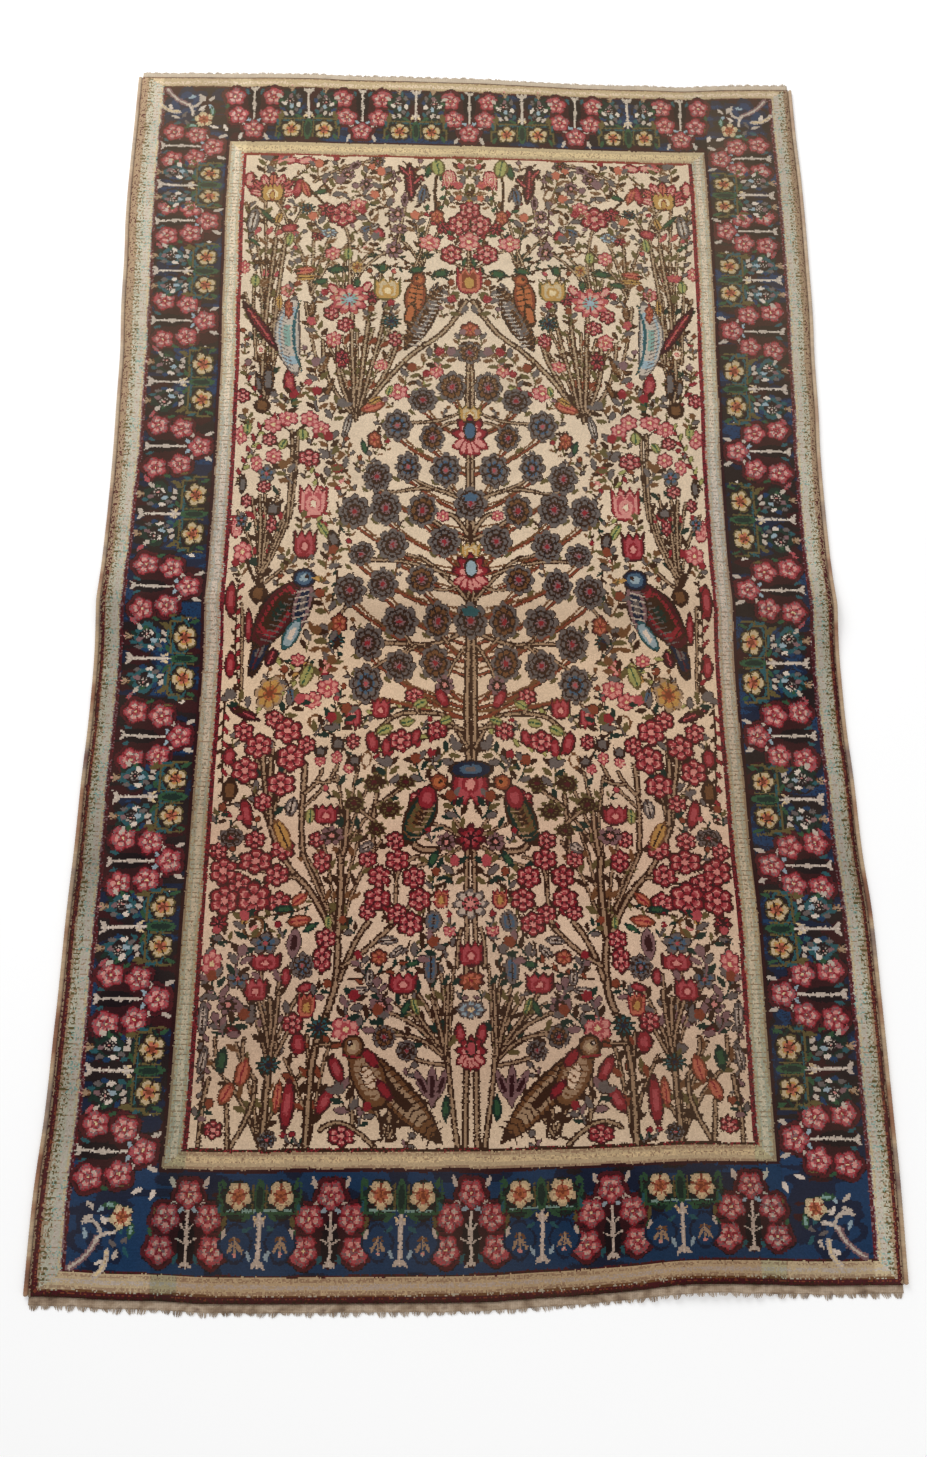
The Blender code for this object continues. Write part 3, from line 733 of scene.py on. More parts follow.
# The right half of the field, mirrored to the left. Each row: out from the axis, up from the middle, wide
# and tall in centimetres, and for some a turn in degrees, where a positive one leans the tip to the axis.
fieldMotifs = dict(
    redRose=(
        (33.4, -23.2, 3.6, 3.4), (38.6, -25.4, 3.6, 3.6), (27.8, -27.6, 3.2, 3.2), (34.6, -37.4, 3.4, 3.2),
        (31, -45.2, 4.2, 3.8), (31.6, -49.6, 4.2, 3.8), (37.6, -51, 4.2, 3.8), (31, -54, 4, 3.6),
        (35.6, -43.8, 3.6, 3.2), (12.4, -43.8, 3.4, 3.2), (16.9, -46.9, 3.2, 3), (12, -55.6, 3.4, 3.2),
        (41.2, -45.6, 3, 3.2), (16.6, -55.4, 2.8, 2.8), (25.4, -43.6, 2.8, 2.8), (20, -27, 2.6, 2.8),
        (24, 77.8, 5.9, 5.7), (1.9, 76, 4.4, 5.1), (0, 79.4, 4.2, 4.6), (3.4, 69.3, 4.4, 4.6),
        (25.8, 56, 3, 3.4), (23.2, 53.4, 3.4, 3.2), (14, 50.5, 2.8, 3.2), (41.9, 38.2, 2.8, 3),
        (36.6, 29.3, 2.8, 2.6), (29.4, 25.6, 4.4, 3.6), (37.2, 19.8, 2.6, 2.6), (40.2, 17, 2, 2.6),
        (35.6, 12.4, 2, 3.2), (31.1, -25.2, 5.2, 4.7), (35.8, -27.9, 5, 4.5), (30.2, -30, 5.2, 5),
        (37.8, -32, 5, 4.7), (31.8, -34.4, 5.2, 4.2), (11.9, -26.8, 4.5, 4), (5.8, -25.1, 3.8, 3.3),
        (9.7, -19, 3.4, 3), (8.3, -36.9, 4.5, 3.5), (35.2, -47.3, 5.9, 4.2), (40.2, -48.9, 5, 4.7),
        (35.1, -53.2, 5.9, 5.4), (39.9, -53.6, 5.2, 5), (24.4, -47.2, 3.3, 4), (12, -46.9, 4.2, 3.8),
        (14.9, -49.7, 4, 3.8), (9.3, -49.8, 4, 3.8), (15.1, -53.3, 4.5, 3.8), (8.3, -53.4, 4.2, 4),
        (9.8, -57.3, 4.4, 4), (23.3, -59.7, 3.4, 3.3), (23.7, -62.9, 3.1, 4.5), (27.9, -72.7, 3.5, 3.3),
        (19.7, -89.4, 4.5, 3.1), (39.2, -88.5, 3.1, 2.8),
    ),
    pinkRose=(
        (21.1, 80, 3.4, 3.2), (7.6, 71.9, 4.4, 3.6), (0, 72.2, 4.2, 4.2), (25.8, 68.9, 3, 3),
        (42.3, 65.7, 2, 2.8), (34, 60.7, 2.8, 2.8), (25.4, 50.3, 3, 3.4), (13.3, 39.4, 3.9, 3.2),
        (29.4, 33.5, 3.4, 3.2), (27.4, 31.6, 3.2, 3), (33.3, 33.6, 3.7, 3.2), (36, 32.3, 3.4, 3.2),
        (41.8, 30.2, 2.5, 3.7), (35.8, 26, 3, 2.8), (38.8, 24.6, 2.1, 3.2), (4.9, 14.6, 2.2, 2.1),
        (40.2, 7.2, 3.4, 3.9), (27.1, -19.8, 3.3, 3), (24.6, -17.6, 3.9, 3.4), (22.6, -29.8, 1.8, 2.1),
        (25.4, -30.3, 1.7, 1.8), (20.5, -31.6, 1.7, 1.8), (41.1, -63.6, 3.2, 4.4), (3.5, -58.3, 2, 1.8),
        (19.7, -73.7, 4.6, 4.4), (16.6, 45, 2.8, 2.5), (6.2, 44.2, 2.5, 3.4), (30, -12.6, 2.5, 2.3),
    ),
    darkRose=(
        (27.3, 78.9, 3.6, 3.4), (4.9, 75.2, 2.8, 3), (18.2, 59.6, 2.8, 3), (23.8, 46.2, 2.8, 4.2),
        (40.4, -57.2, 3, 2.8), (0, -43.3, 5, 4.6), (41.6, 84.9, 1.9, 4.2), (28.6, 73, 2.6, 2.4),
    ),
    slateRose=(
        (8.6, 37.8, 5.3, 5.3), (16.9, 22.1, 5.3, 6.4), (20.8, 15.3, 5.7, 6.8), (15.2, 16, 5.9, 6.8),
        (0, 17, 6.2, 6.6), (13.8, 8.8, 5.7, 6.6), (4.6, 9.6, 5.9, 6.4), (19.4, 7, 4.6, 4.8),
        (15.4, 1, 5.3, 6.6), (21.1, -0.2, 5.7, 6.6), (12.3, -5.8, 6.4, 5.9), (17.8, -9.6, 5.7, 6.4),
        (12.4, -13.6, 5.7, 5.9), (0, -5.6, 5.9, 6.6), (10.1, -76.8, 3.2, 3.2), (39.4, -43.3, 4.2, 3.2),
    ),
    blueRose=(
        (13.3, 32.6, 5.5, 6.4), (11.4, 24.2, 4.6, 6.4), (4.5, 23.5, 5.7, 7), (18.1, -16.9, 5.7, 7),
        (26.8, -64, 3.8, 4.2), (31, -89.7, 2.8, 2.6),
    ),
    umberRose=(
        (3.4, 40.5, 5.3, 6.6), (0, 47.8, 5.1, 4.8), (7, 30.1, 4.6, 5.7), (8.6, 15.6, 5.5, 6.6),
        (8.6, 2, 5.3, 6.2), (5.8, -5.6, 5.1, 6.8), (6.2, -13.1, 5.3, 6.6), (13.6, -74.7, 3.6, 3.6),
        (17.6, 90.2, 2.6, 2.4),
    ),
    orangeRose=(
        (6.1, 77.8, 2.8, 3.6), (0, 52.8, 3.6, 3.4), (17.5, 29.7, 2.6, 3.6), (22.8, -6.3, 2.8, 3.8),
        (5.3, -34, 3.4, 3.2), (14.7, -62.5, 2.8, 2.6), (0, -66.1, 4.2, 2.8), (33.8, 56.6, 1.8, 4.6),
    ),
    goldRose=((21.1, 66, 2.6, 3), (34.4, -18.6, 5, 6.4, 20)),
    creamRose=((28, -14, 1.6, 1.8),),
    mauveRose=(
        (23.3, 87.2, 2.8, 2.4), (19.7, 85, 2.6, 3.2), (13.6, 78.2, 2.6, 3.2), (13.2, 74.8, 2.6, 2.4),
        (14.4, 70, 3, 3.6), (15.2, 87.2, 2, 2.6), (22.9, -42.9, 4, 3.2), (4, -44, 3.2, 3),
        (14, -70, 3.6, 3.4), (38.1, -70, 3.4, 3), (4.6, -17, 3.2, 3.6),
    ),
    oliveRose=(
        (16.1, -34, 4, 3.6), (11.1, -34, 4.2, 3), (19.4, -37.6, 4, 3.2), (13.4, -38.6, 4.6, 3.6),
        (15.6, -42, 3.8, 3),
    ),
    skyRose=((26.6, 73.6, 3.2, 2.2), (0, -70.7, 4.6, 2.6)),
    aquaRose=((22.6, 58.9, 7, 6.4),),
    greyRose=((0, -54, 5.6, 5),),
    hollowRose=(
        (19.7, 70.3, 3.4, 2.6), (23.4, 21.5, 3.2, 4.2), (25.1, 6, 1.9, 2.8), (35.1, -57.7, 3.8, 3.6),
        (38.8, 48, 1.8, 2.6),
    ),
    tealRose=(
        (14.7, 54.2, 4.2, 3.6), (23.3, -9.1, 3.2, 3), (23.8, -73.3, 4, 3.6), (31.5, -79, 4.2, 3),
        (30.8, 79, 3.2, 2.8), (40.8, -60, 2.2, 2),
    ),
    pinkLeaf=(
        (35.3, 90.1, 1.9, 5.4, 90), (31.5, 90, 1.8, 3.4, 80), (42, 85.3, 1.8, 4), (25.5, 61.2, 1.6, 3, -40),
        (25.1, -13.8, 2, 3.6, 10), (19.4, 61.6, 1.6, 2.6, 30),
    ),
    redLeaf=(
        (32.6, 83.6, 1.6, 5, 12), (34, 74.6, 2, 3.4, 80), (17.2, 73.9, 2, 3.2, -40),
        (33.3, 41, 2.2, 5.8, -8), (5, -19.4, 2, 4, -30), (16.6, -27.2, 2.2, 4, -14),
        (14.3, -28, 1.7, 3.6, 6), (9.4, -26.2, 1.6, 3.2, 14), (40.6, -29.7, 2.2, 3.4),
        (37.2, -39.3, 2, 5.4, -14), (29.3, -65.7, 1.5, 3), (26.3, -67.3, 1.4, 2.8, 75),
        (26.9, -75.8, 2.6, 3.8), (20.8, -79.7, 2, 4.6, -26), (22.5, -84.3, 2.2, 4.8, 30),
        (28.3, -84.7, 2.2, 8.2, 4), (1.7, -74.2, 1.7, 3.4, -10), (41.7, -2, 1.9, 7), (38.6, -6.8, 1.3, 6),
        (41.5, -13.6, 1.8, 5),
    ),
    orangeLeaf=(
        (31.2, 83.4, 1.5, 4.2, -16), (17.9, 36.4, 2.2, 4.8, 70), (27.6, -56.8, 1.8, 4, 80),
        (29.9, -83.6, 1.4, 5, 6), (35.3, -80, 2.2, 4.6, 14), (37.6, -83.2, 2, 3.8, 26),
        (27.8, -53.4, 1.6, 3.2, 50), (31, 65, 1.6, 4.4, 82),
    ),
    goldLeaf=(
        (31.1, -42.9, 2.4, 6, -26), (17.6, 37.6, 1.4, 3, 60), (36.4, -57, 1, 2.4, 30), (35.6, 58, 1.2, 4),
        (30.6, 63.6, 1.4, 4.4, 86), (36, 77, 1.4, 3, 20),
    ),
    pineLeaf=(
        (28.2, 83, 1.3, 3.6, 70), (8, 88.4, 1.6, 4, 10), (25, 65.4, 1.8, 3.8, 80),
        (27.9, 62.8, 1.4, 3.2, 80), (16.5, 66, 2, 2.6), (10, 65.7, 1.7, 3.4, 75), (5.4, 65, 2, 3.6, 80),
        (32.2, 37, 1.4, 3.2), (19.4, 28.1, 1.2, 3.4, -16), (30.1, -55, 1.2, 3.6, 85),
        (25.8, -57.9, 1.2, 3, 60), (6.1, -46.8, 1.5, 3.4, 28), (9.4, -63.6, 1.2, 2.8, 80),
        (38.6, -78.2, 2, 4.2, 8), (4, -85.4, 1.4, 4), (38.2, 77.4, 1.1, 4.6, -44),
        (40.6, 71.4, 0.9, 3.4, -50), (0.9, 67.4, 1, 2.6, 14), (10.2, -70.4, 1.2, 3.4, 30),
        (21.2, 62.6, 1.4, 2.6),
    ),
    limeLeaf=(
        (6.2, 89.2, 3, 4.6, -10), (22.9, 68.9, 1.9, 3), (40.2, 62.8, 2, 3), (14.9, 39.7, 1.4, 2.4, 20),
        (30.6, 30.3, 2.2, 2.6), (34.2, 28.4, 1.6, 2.6, 30), (26.2, 11.6, 1.6, 4.2, -34),
        (28.4, -15.4, 2.4, 4.8, 20), (8.6, -20.4, 1.8, 2.6, 60), (14.6, -25, 1.9, 3.2, 60),
        (10.9, -23.6, 1.8, 2.8, 80), (4.3, -23.3, 1.6, 2.4, 70), (26.6, -39.7, 1.8, 2.8),
        (8.8, -70.2, 1.2, 3.2, -20), (33.8, 72, 1.6, 3.4, 10), (23, -57, 1.2, 2.6), (40.6, 31.8, 1.8, 3.4),
        (8.8, -40.9, 1.2, 2.6),
    ),
    slateLeaf=(
        (40.8, 76.2, 2.4, 6.2, 10), (22.6, 32.4, 1.4, 5.8, 14), (13.3, -59.8, 1.4, 3.4, 84),
        (11.9, -61.6, 1.3, 3, 50), (16.1, -65.7, 1.6, 2.8), (17.9, -67.9, 1.4, 3.8, 80),
        (17.2, -45, 1.8, 2.8, 60), (41.9, -72, 1.8, 5.4), (41.6, -78.2, 1.6, 4.8, 10),
        (18.2, 75, 1.7, 3, 60), (7, 61, 1, 5, 30), (29.8, -38.3, 2.2, 3.6, 10),
    ),
    skyLeaf=(
        (9, 82.8, 2, 4.6, 10), (19.5, 74.6, 1.8, 3, 60), (30.8, -19, 1.5, 3.6, -10),
        (31.1, -7.8, 2.4, 5.4, 34), (6, -56.9, 3, 3.8, 10), (6.5, -64.3, 2.4, 5.4), (36, -7, 0.9, 3.2, 30),
    ),
    inkLeaf=(
        (8, 82.8, 0.8, 3.6, -14), (37.2, 41.7, 2.3, 7), (41.1, 20.3, 1.6, 4.4), (24.4, 9.9, 2.2, 3.8, -20),
        (34.5, -71.1, 1.5, 4.4), (37.2, -13.2, 2.4, 5.8, 12), (16, 58, 0.8, 2.4), (39, 40.8, 1.4, 5, -8),
    ),
    wineLeaf=(
        (11.4, 85.6, 2.2, 9.2, -4), (39, 53, 2.3, 12.6, -32), (38.6, -22.2, 1.8, 5.8, -66),
        (37.6, -73.8, 1.5, 3.4, -70), (34.6, -12.2, 2, 3.4, 20), (12.6, 88, 1.2, 3.4, -40),
        (10, 86, 1.1, 3.2, 40), (32.3, -1.6, 2.4, 5, 40),
    ),
    mauveLeaf=(
        (21.9, 89.2, 1.4, 2.8, 60), (28.3, -60.4, 2.2, 4.8, 4), (6.2, -82.2, 1.5, 6.4),
        (7.7, -82, 1.3, 5, -26), (4.8, -82, 1.3, 5, 22), (12.4, 81.4, 1.2, 3.2),
    ),
    umberLeaf=(
        (29.4, 56.8, 1.6, 4.4, 6), (38.2, 36.2, 3.4, 3.6), (36.9, -1, 3.4, 4, 10), (40.1, -35.4, 2.8, 4.6),
        (5.8, 80.6, 1, 2), (27, 45, 1.2, 6, 20), (26, 40, 1.2, 5, 24),
    ),
    hollowLeaf=(
        (15.4, 83.5, 2, 4, -30), (18, 77.8, 1.7, 3.2, 20), (24.5, 26.5, 1.8, 3.6, 90),
        (17.6, -30.1, 1.9, 3.2, 10), (26.5, -23.6, 2.6, 3.2), (24.4, 82.4, 1.3, 2.6, 50),
    ),
    redCup=(
        (29.3, 8.9, 4, 5.8), (15.4, -21.1, 3.2, 3.8), (24, -39.3, 4, 3.4), (32.6, -63.3, 4.8, 3),
        (34, -67.5, 3.8, 3.8), (10.8, -66.5, 4.4, 3.4), (0, -61.9, 3.8, 4.2), (20.1, -22.9, 2.8, 4.4, 180),
    ),
    pinkCup=((28.3, 17.2, 5, 6.6), (4, 86.2, 2.6, 4.6, 180), (41.6, 12.2, 2, 4.4)),
    orangeCup=((0, 63.6, 4.6, 5.8), (4.7, -53.2, 2.2, 3.2), (25.9, -69.9, 2.6, 3.8)),
    goldCup=((15.5, 61.6, 5.2, 5.4), (0, 35.1, 4.2, 3.6), (0, 8, 3.6, 3), (0, 83, 2.2, 3.4)),
    slateIris=(
        (36.9, 22.6, 3.6, 3.8), (40.8, 13.4, 2.4, 3.2), (32.9, -60.4, 5.2, 3.8), (36.9, -66, 3.8, 3.4),
    ),
    inkCup=(
        (35.4, 15.6, 2.8, 2.8), (22.6, -27.3, 2.4, 2.8), (25.4, -28.6, 2.2, 2.2), (19.6, -30.2, 2.2, 2.2),
    ),
)

# Stems, drawn before the flowers: half width, then start, pull and stop as out + up j.
fieldStems = (
    # corner shrub at the top and its two long wands
    (0.45, 21.3+34j, 22+46j, 22+57j), (0.45, 21+34j, 20+46j, 18.5+58j), (0.4, 20.6+35j, 18+46j, 15.4+58j),
    (0.45, 20.4+35j, 15.5+42j, 13.6+49.5j), (0.5, 20+35j, 14+45j, 8.4+49.4j),
    (0.5, 8.4+49.4j, 4+52j, 0.6+59j), (0.4, 21.6+35j, 25+42j, 24.6+49j), (0.4, 22+35j, 27.6+42j, 27.4+50j),
    (0.3, 14+49.5j, 16+53j, 15.6+57j), (0.32, 19+55j, 16.4+63j, 17+66j), (0.32, 22.6+62j, 22+72j, 24+76j),
    (0.3, 22+62j, 18+70j, 13.8+70j), (0.3, 14+70j, 12+80j, 11.4+88j), (0.32, 29.6+85j, 25+89.6j, 17+90.6j),
    (0.28, 24+77j, 28+80j, 31+84j), (0.4, 38.4+46j, 38+58j, 36.4+72j), (0.4, 36.6+46j, 36.4+58j, 34.6+72j),
    (0.3, 35+72j, 33+76j, 37+81j), (0.3, 40.4+79.3j, 38+76j, 35.6+75.2j),
    (0.3, 39.6+46j, 40.6+58j, 40.4+64j), (0.4, 37.8+37j, 38.6+43j, 38.4+50j),
    (0.3, 10.4+66j, 8+74j, 7.4+77j), (0.28, 6+78j, 7+84j, 6.4+87j), (0.34, 0+60j, 0.2+66j, 0+81j),
    (0.3, 0+66j, 3.4+66.4j, 3.6+69j), (0.3, 1+70j, 6+69j, 7.4+71j), (0.34, 30.6+58j, 30+50j, 27.6+43j),
    # the tree: axis, boughs and twigs to the dark rosettes
    (0.5, 0+47j, 0.7+42j, 0.4+36j), (0.42, 0.5+28j, 0.3+22j, 0.5+18j), (0.5, 0.3+15j, 0.8+12j, 0.3+8j),
    (0.5, 0.3+0j, 0.6-4j, 0.3-8j), (0.55, 0.3-8j, 0.9-16j, 0.5-30j), (0.34, 1+36j, 4+33j, 11+33.2j),
    (0.34, 0.8+33j, 4+34j, 6.6+31j), (0.4, 0.8+18j, 4+18j, 4.4+22j), (0.42, 1+17j, 6+21j, 12+19.4j),
    (0.34, 6+19.6j, 10+21j, 11.2+23j), (0.34, 12+19.4j, 15+18.6j, 17+20j), (0.45, 0.6+10j, 5+12j, 8+15j),
    (0.45, 0.6+11j, 3+16j, 4.6+14.6j), (0.42, 0.8-2j, 5+4j, 9+6.6j), (0.4, 4+3j, 10+6.2j, 18+5.8j),
    (0.34, 9+6.4j, 12+7j, 13.8+8j), (0.36, 2.4+0.6j, 5-1j, 8.6+1j), (0.45, 0.6-7j, 4-9.6j, 9-10j),
    (0.42, 8-9.8j, 12-9.4j, 16-9.6j), (0.34, 10-10j, 15-12.4j, 18-15j), (0.34, 4-9.4j, 5.4-8j, 5.8-6j),
    (0.34, 10-10j, 11.6-8.4j, 12.3-6j), (0.34, 7-10j, 6.2-11j, 6.2-12j),
    (0.34, 9.6-10j, 11.6-11j, 12.4-13j), (0.34, 1-10j, 4-14j, 4.6-17j), (0.42, 0.7-28j, 3.4-22j, 6-22.2j),
    (0.45, 6-22.2j, 12-21.6j, 13.6-23j), (0.4, 13.6-23j, 16-25j, 17-28j),
    (0.3, 18.1-19j, 18.8-20j, 20-21.4j), (0.3, 21.1-3j, 22-3.6j, 22.8-5j), (0.34, 9-22j, 9.8-21j, 9.7-20j),
    (0.34, 1.4-25j, 3-24j, 5.4-24.6j),
    # wands with pink roses at the side
    (0.4, 32.6+31j, 32.2+22j, 32.8+12j), (0.3, 31.6+31j, 31.4+22j, 32.2+14j),
    (0.35, 37.8+18j, 37.2+10j, 37.2+3j), (0.3, 36.4+12j, 36.6+6j, 36.8+2j),
    (0.35, 32.8+13j, 34+8j, 36.6+3j), (0.35, 30.6+7j, 33+4j, 36+1j), (0.3, 33.4+13j, 35+7j, 37.2+3j),
    (0.28, 39.6+6j, 38.6+3j, 37.4+1j), (0.28, 32.4+26j, 30.6+25j, 29.6+25.6j),
    (0.28, 32.5+28j, 34+28j, 36.2+28.8j), (0.28, 32.4+30j, 30.6+32j, 29.4+32.6j),
    (0.3, 39.8-3j, 39.6-12j, 39.4-20j),
    # rose tree of the lower side
    (0.5, 35-29j, 34-38j, 33.4-41j), (0.5, 33.4-41j, 31.6-46j, 28.6-49.7j),
    (0.55, 28.6-49.7j, 24.4-53j, 22.4-59j), (0.5, 33.6-30j, 33.4-38j, 33-41j),
    (0.6, 21.4-46j, 20.6-52j, 21.6-60j), (0.6, 21.6-60j, 20.4-66j, 22.9-71.8j),
    (0.6, 22.9-71.8j, 25.4-78j, 25.1-91.2j), (0.5, 20.9-46j, 20.4-42j, 20.4-38j),
    (0.5, 20.8-66j, 19-60j, 16.4-57j), (0.45, 20.6-64j, 17-62j, 12.9-57.5j),
    (0.4, 12.9-57.5j, 12-53j, 12.2-48.6j), (0.4, 13-57j, 11-55j, 9-54j), (0.4, 16-47j, 16.4-42j, 15.6-36j),
    (0.36, 15.6-41j, 18-39j, 19-38j), (0.36, 15.6-38j, 13-36j, 11.6-35j),
    (0.5, 27.8-31j, 28.4-38j, 27.6-46j), (0.36, 25-32j, 25.6-34j, 27.8-36j),
    (0.34, 22.4-31j, 23.4-34j, 27.6-38j), (0.36, 27.6-46j, 26-50j, 23-55j),
    (0.34, 36-48j, 32-50j, 28.6-50j), (0.34, 26-34j, 24.6-34.4j, 22.6-33.6j),
    # parrot's perch, the small bush by the axis and the tulips at the bottom
    (0.6, 9.4-42j, 10.4-46j, 5.4-45.4j), (0.36, 8.6-46.4j, 12-47j, 12.2-51j),
    (0.4, 3.8-78j, 5-73j, 6.2-69j), (0.36, 4.2-78j, 8-74j, 13-74.4j), (0.36, 4.6-77j, 9-72j, 13-71j),
    (0.36, 4-78j, 3.8-72j, 3.6-67j), (0.36, 4.2-79j, 8-78.6j, 9.6-77.6j), (0.45, 3.6-78j, 3.4-84j, 2-91.2j),
    (0.36, 5-76j, 9.6-70j, 10.6-68j), (0.5, 31.5-80j, 31.6-86j, 32-91.2j),
    (0.45, 31.6-69j, 31-74j, 31.5-78j), (0.4, 33.6-69j, 31.6-74j, 31.4-78j),
    (0.4, 30.2-68j, 30.6-74j, 31.4-78j), (0.36, 28.6-74j, 29.6-76j, 31-78.6j),
    (0.4, 33.4-81j, 33-86j, 36.6-91.2j), (0.4, 40.4-81j, 41.4-86j, 41.2-91.2j),
    (0.4, 37.4-85j, 37-88j, 36.8-91.2j), (0.34, 39.8-75j, 39.8-78j, 38.6-80j),
    (0.36, 35.4-75j, 36-78j, 33.4-81j), (0.34, 24-76j, 20-76j, 18.6-76j),
    (0.34, 18.4-78j, 18.6-84j, 18-88j), (0.45, 0.5-45j, 0.9-50j, 0.5-56j),
    (0.45, 0.6-56j, 0.9-62j, 0.6-66j), (0.5, 0.6-78j, 1-84j, 0.9-91.2j), (0.36, 1.6-58j, 2.4-60j, 2-64j),
    (0.4, 23-88.6j, 19.6-85.6j, 14.6-91j),
)


def leafyStem(points, width, wools, gap, reach):
    # a thin stem with small leaves on alternate sides that lean forward along it
    stem(points, width, "umber", "tan" if width > 0.3 else None)
    runs = np.diff(points)
    way = np.concatenate([[0], np.cumsum(np.abs(runs))])
    for i, step in enumerate(np.arange(gap, way[-1], gap)):
        k = min(int(np.searchsorted(way, step)) - 1, len(runs) - 1)
        place = points[k] + runs[k] * (step - way[k]) / abs(runs[k])
        side = 1 if i % 2 else -1
        turn = np.angle(runs[k]) - np.pi / 2 + side * 0.7
        leaf(Spot(place + 0.62 * reach * 1j * np.exp(1j * turn), turn), 0.26 * reach, 0.66 * reach,
             {1: wools[i % len(wools)]})


def palmette(spot, wide, tall, heart):
    # a fan of pink petals about a blue heart, over a crimson ground
    blossom(spot, wide / 2, tall / 2, 9, 0.3, {1: "maroon", 0.86: "crimson", 0.6: "pink"})
    for turn in (-52, -26, 0, 26, 52):
        tip = spot.at(0j, 180 + turn)
        leaf(tip.at(0.27j * tall), 0.13 * wide, 0.2 * tall, {1: "crimson", 0.62: "pink"})
    blossom(spot.at(0.12j * tall), 0.2 * wide, 0.24 * tall, 2, 0.1, {1: "ink", 0.74: heart})


def cornerPalmette(spot):
    # a gold heart with pink and crimson petals fanned over and beside it, at the top corners of the field
    for turn, reach, wools in ((-80, 4.4, ("crimson", "pink")), (-52, 5.2, ("maroon", "rose")),
                               (-26, 5.0, ("crimson", "pink")), (0, 5.2, ("maroon", "salmon")),
                               (26, 5.0, ("crimson", "pink")), (52, 5.2, ("maroon", "rose")),
                               (80, 4.4, ("crimson", "pink"))):
        petal = spot.at(0j, turn)
        leaf(petal.at(0.56j * reach), 0.95, 0.46 * reach, {1: wools[0], 0.66: wools[1]}, rib=wools[0])
    cup(spot.at(0.6j), 2.3, 2.2, {1: "umber", 0.84: "gold", 0.5: "cream"}, 5)
    leaf(spot.at(-0.2j), 0.6, 1.4, {1: "rust", 0.6: "gold"})


def bars(spot, steps, rise, reaches, width=0.12):
    # chevrons along a wing or a back: each runs from its reach, raised by rise, to the middle line
    for step in np.arange(*steps):
        for reach, wool in reaches.items():
            line(spot, (reach + 1j * (step + rise), 1j * step), width, wool)


def partridge(spot):
    # stands at the foot of the field, head outwards and up, its long barred back running down to the axis
    back = spot.at(-6.3 - 6.5j, -44)
    leaf(back, 2.2, 9.2, {1: "umber", 0.8: "brown", 0.56: "tan", 0.3: "umber"})
    bars(back, (-7.0, 7.1, 0.95), -0.7, {-1.7: "umber", 1.6: "umber"})
    breast = spot.at(-2.5 - 4.4j, -24)
    blossom(breast, 2.5, 4.6, 2, 0.05, {1: "umber", 0.88: "brown", 0.68: "tan", 0.4: "ivory"})
    for step in np.arange(-3.0, 3.6, 0.9):
        for reach in (-1.7, 1.7):
            line(breast, (reach + 1j * step, 0.2 + 1j * (step - 0.5)), 0.12, "brown")
    leaf(spot.at(-2.7 - 1.8j, -40), 0.8, 1.7, {1: "maroon", 0.7: "crimson"})
    leaf(spot.at(-4.7 - 6.0j, -40), 0.8, 1.8, {1: "maroon", 0.6: "crimson"})
    for foot in (-4.6, -6.4):
        line(spot, (foot + 0.6 - 8.2j, foot - 12.4j), 0.24, "umber")
        line(spot, (foot - 12.4j, foot + 1.3 - 12.7j), 0.2, "umber")
    blossom(spot.at(-0.2 - 0.3j), 1.7, 1.7, 2, 0.05, {1: "umber", 0.78: "brown", 0.56: "tan", 0.3: "straw"})
    blossom(spot.at(0.3 + 0.15j), 0.42, 0.42, 2, 0, {1: "ink", 0.4: "white"})
    leaf(spot.at(2.2 - 0.3j, -98), 0.42, 1.3, {1: "umber", 0.5: "rust"})
    line(spot, (-1.4 - 1.7j, 1.1 - 1.5j), 0.14, "crimson")


def perchingBird(spot):
    # sits on the wand near the top: orange breast, dark folded wings that run down and outwards
    wing = spot.at(-1.0 - 8.4j, 26)
    leaf(wing, 2.2, 8.0, {1: "ink", 0.8: "umber", 0.5: "slate", 0.26: "umber"})
    bars(wing, (-6.4, 6.4, 0.95), 0.6, {-1.5: "ash", 1.5: "brown"})
    leaf(spot.at(0.6 - 3.9j, 8), 2.2, 4.8, {1: "umber", 0.84: "rust", 0.62: "orange"}, rib="umber")
    for step in (-2.6, -1.4, -0.2, 1.0, 2.2):
        line(spot, (-0.8 + 1j * (step - 4.4), 1.7 + 1j * (step - 3.8)), 0.14, "umber")
    leaf(spot.at(1.6 - 7.6j, 14), 1.1, 2.8, {1: "umber", 0.6: "orange"})
    blossom(spot, 1.6, 1.55, 2, 0.05, {1: "umber", 0.8: "rust", 0.5: "orange"})
    blossom(spot.at(0.35 + 0.25j), 0.36, 0.36, 2, 0, {1: "ink"})
    leaf(spot.at(1.9 - 0.2j, -100), 0.36, 1.0, {1: "umber"})


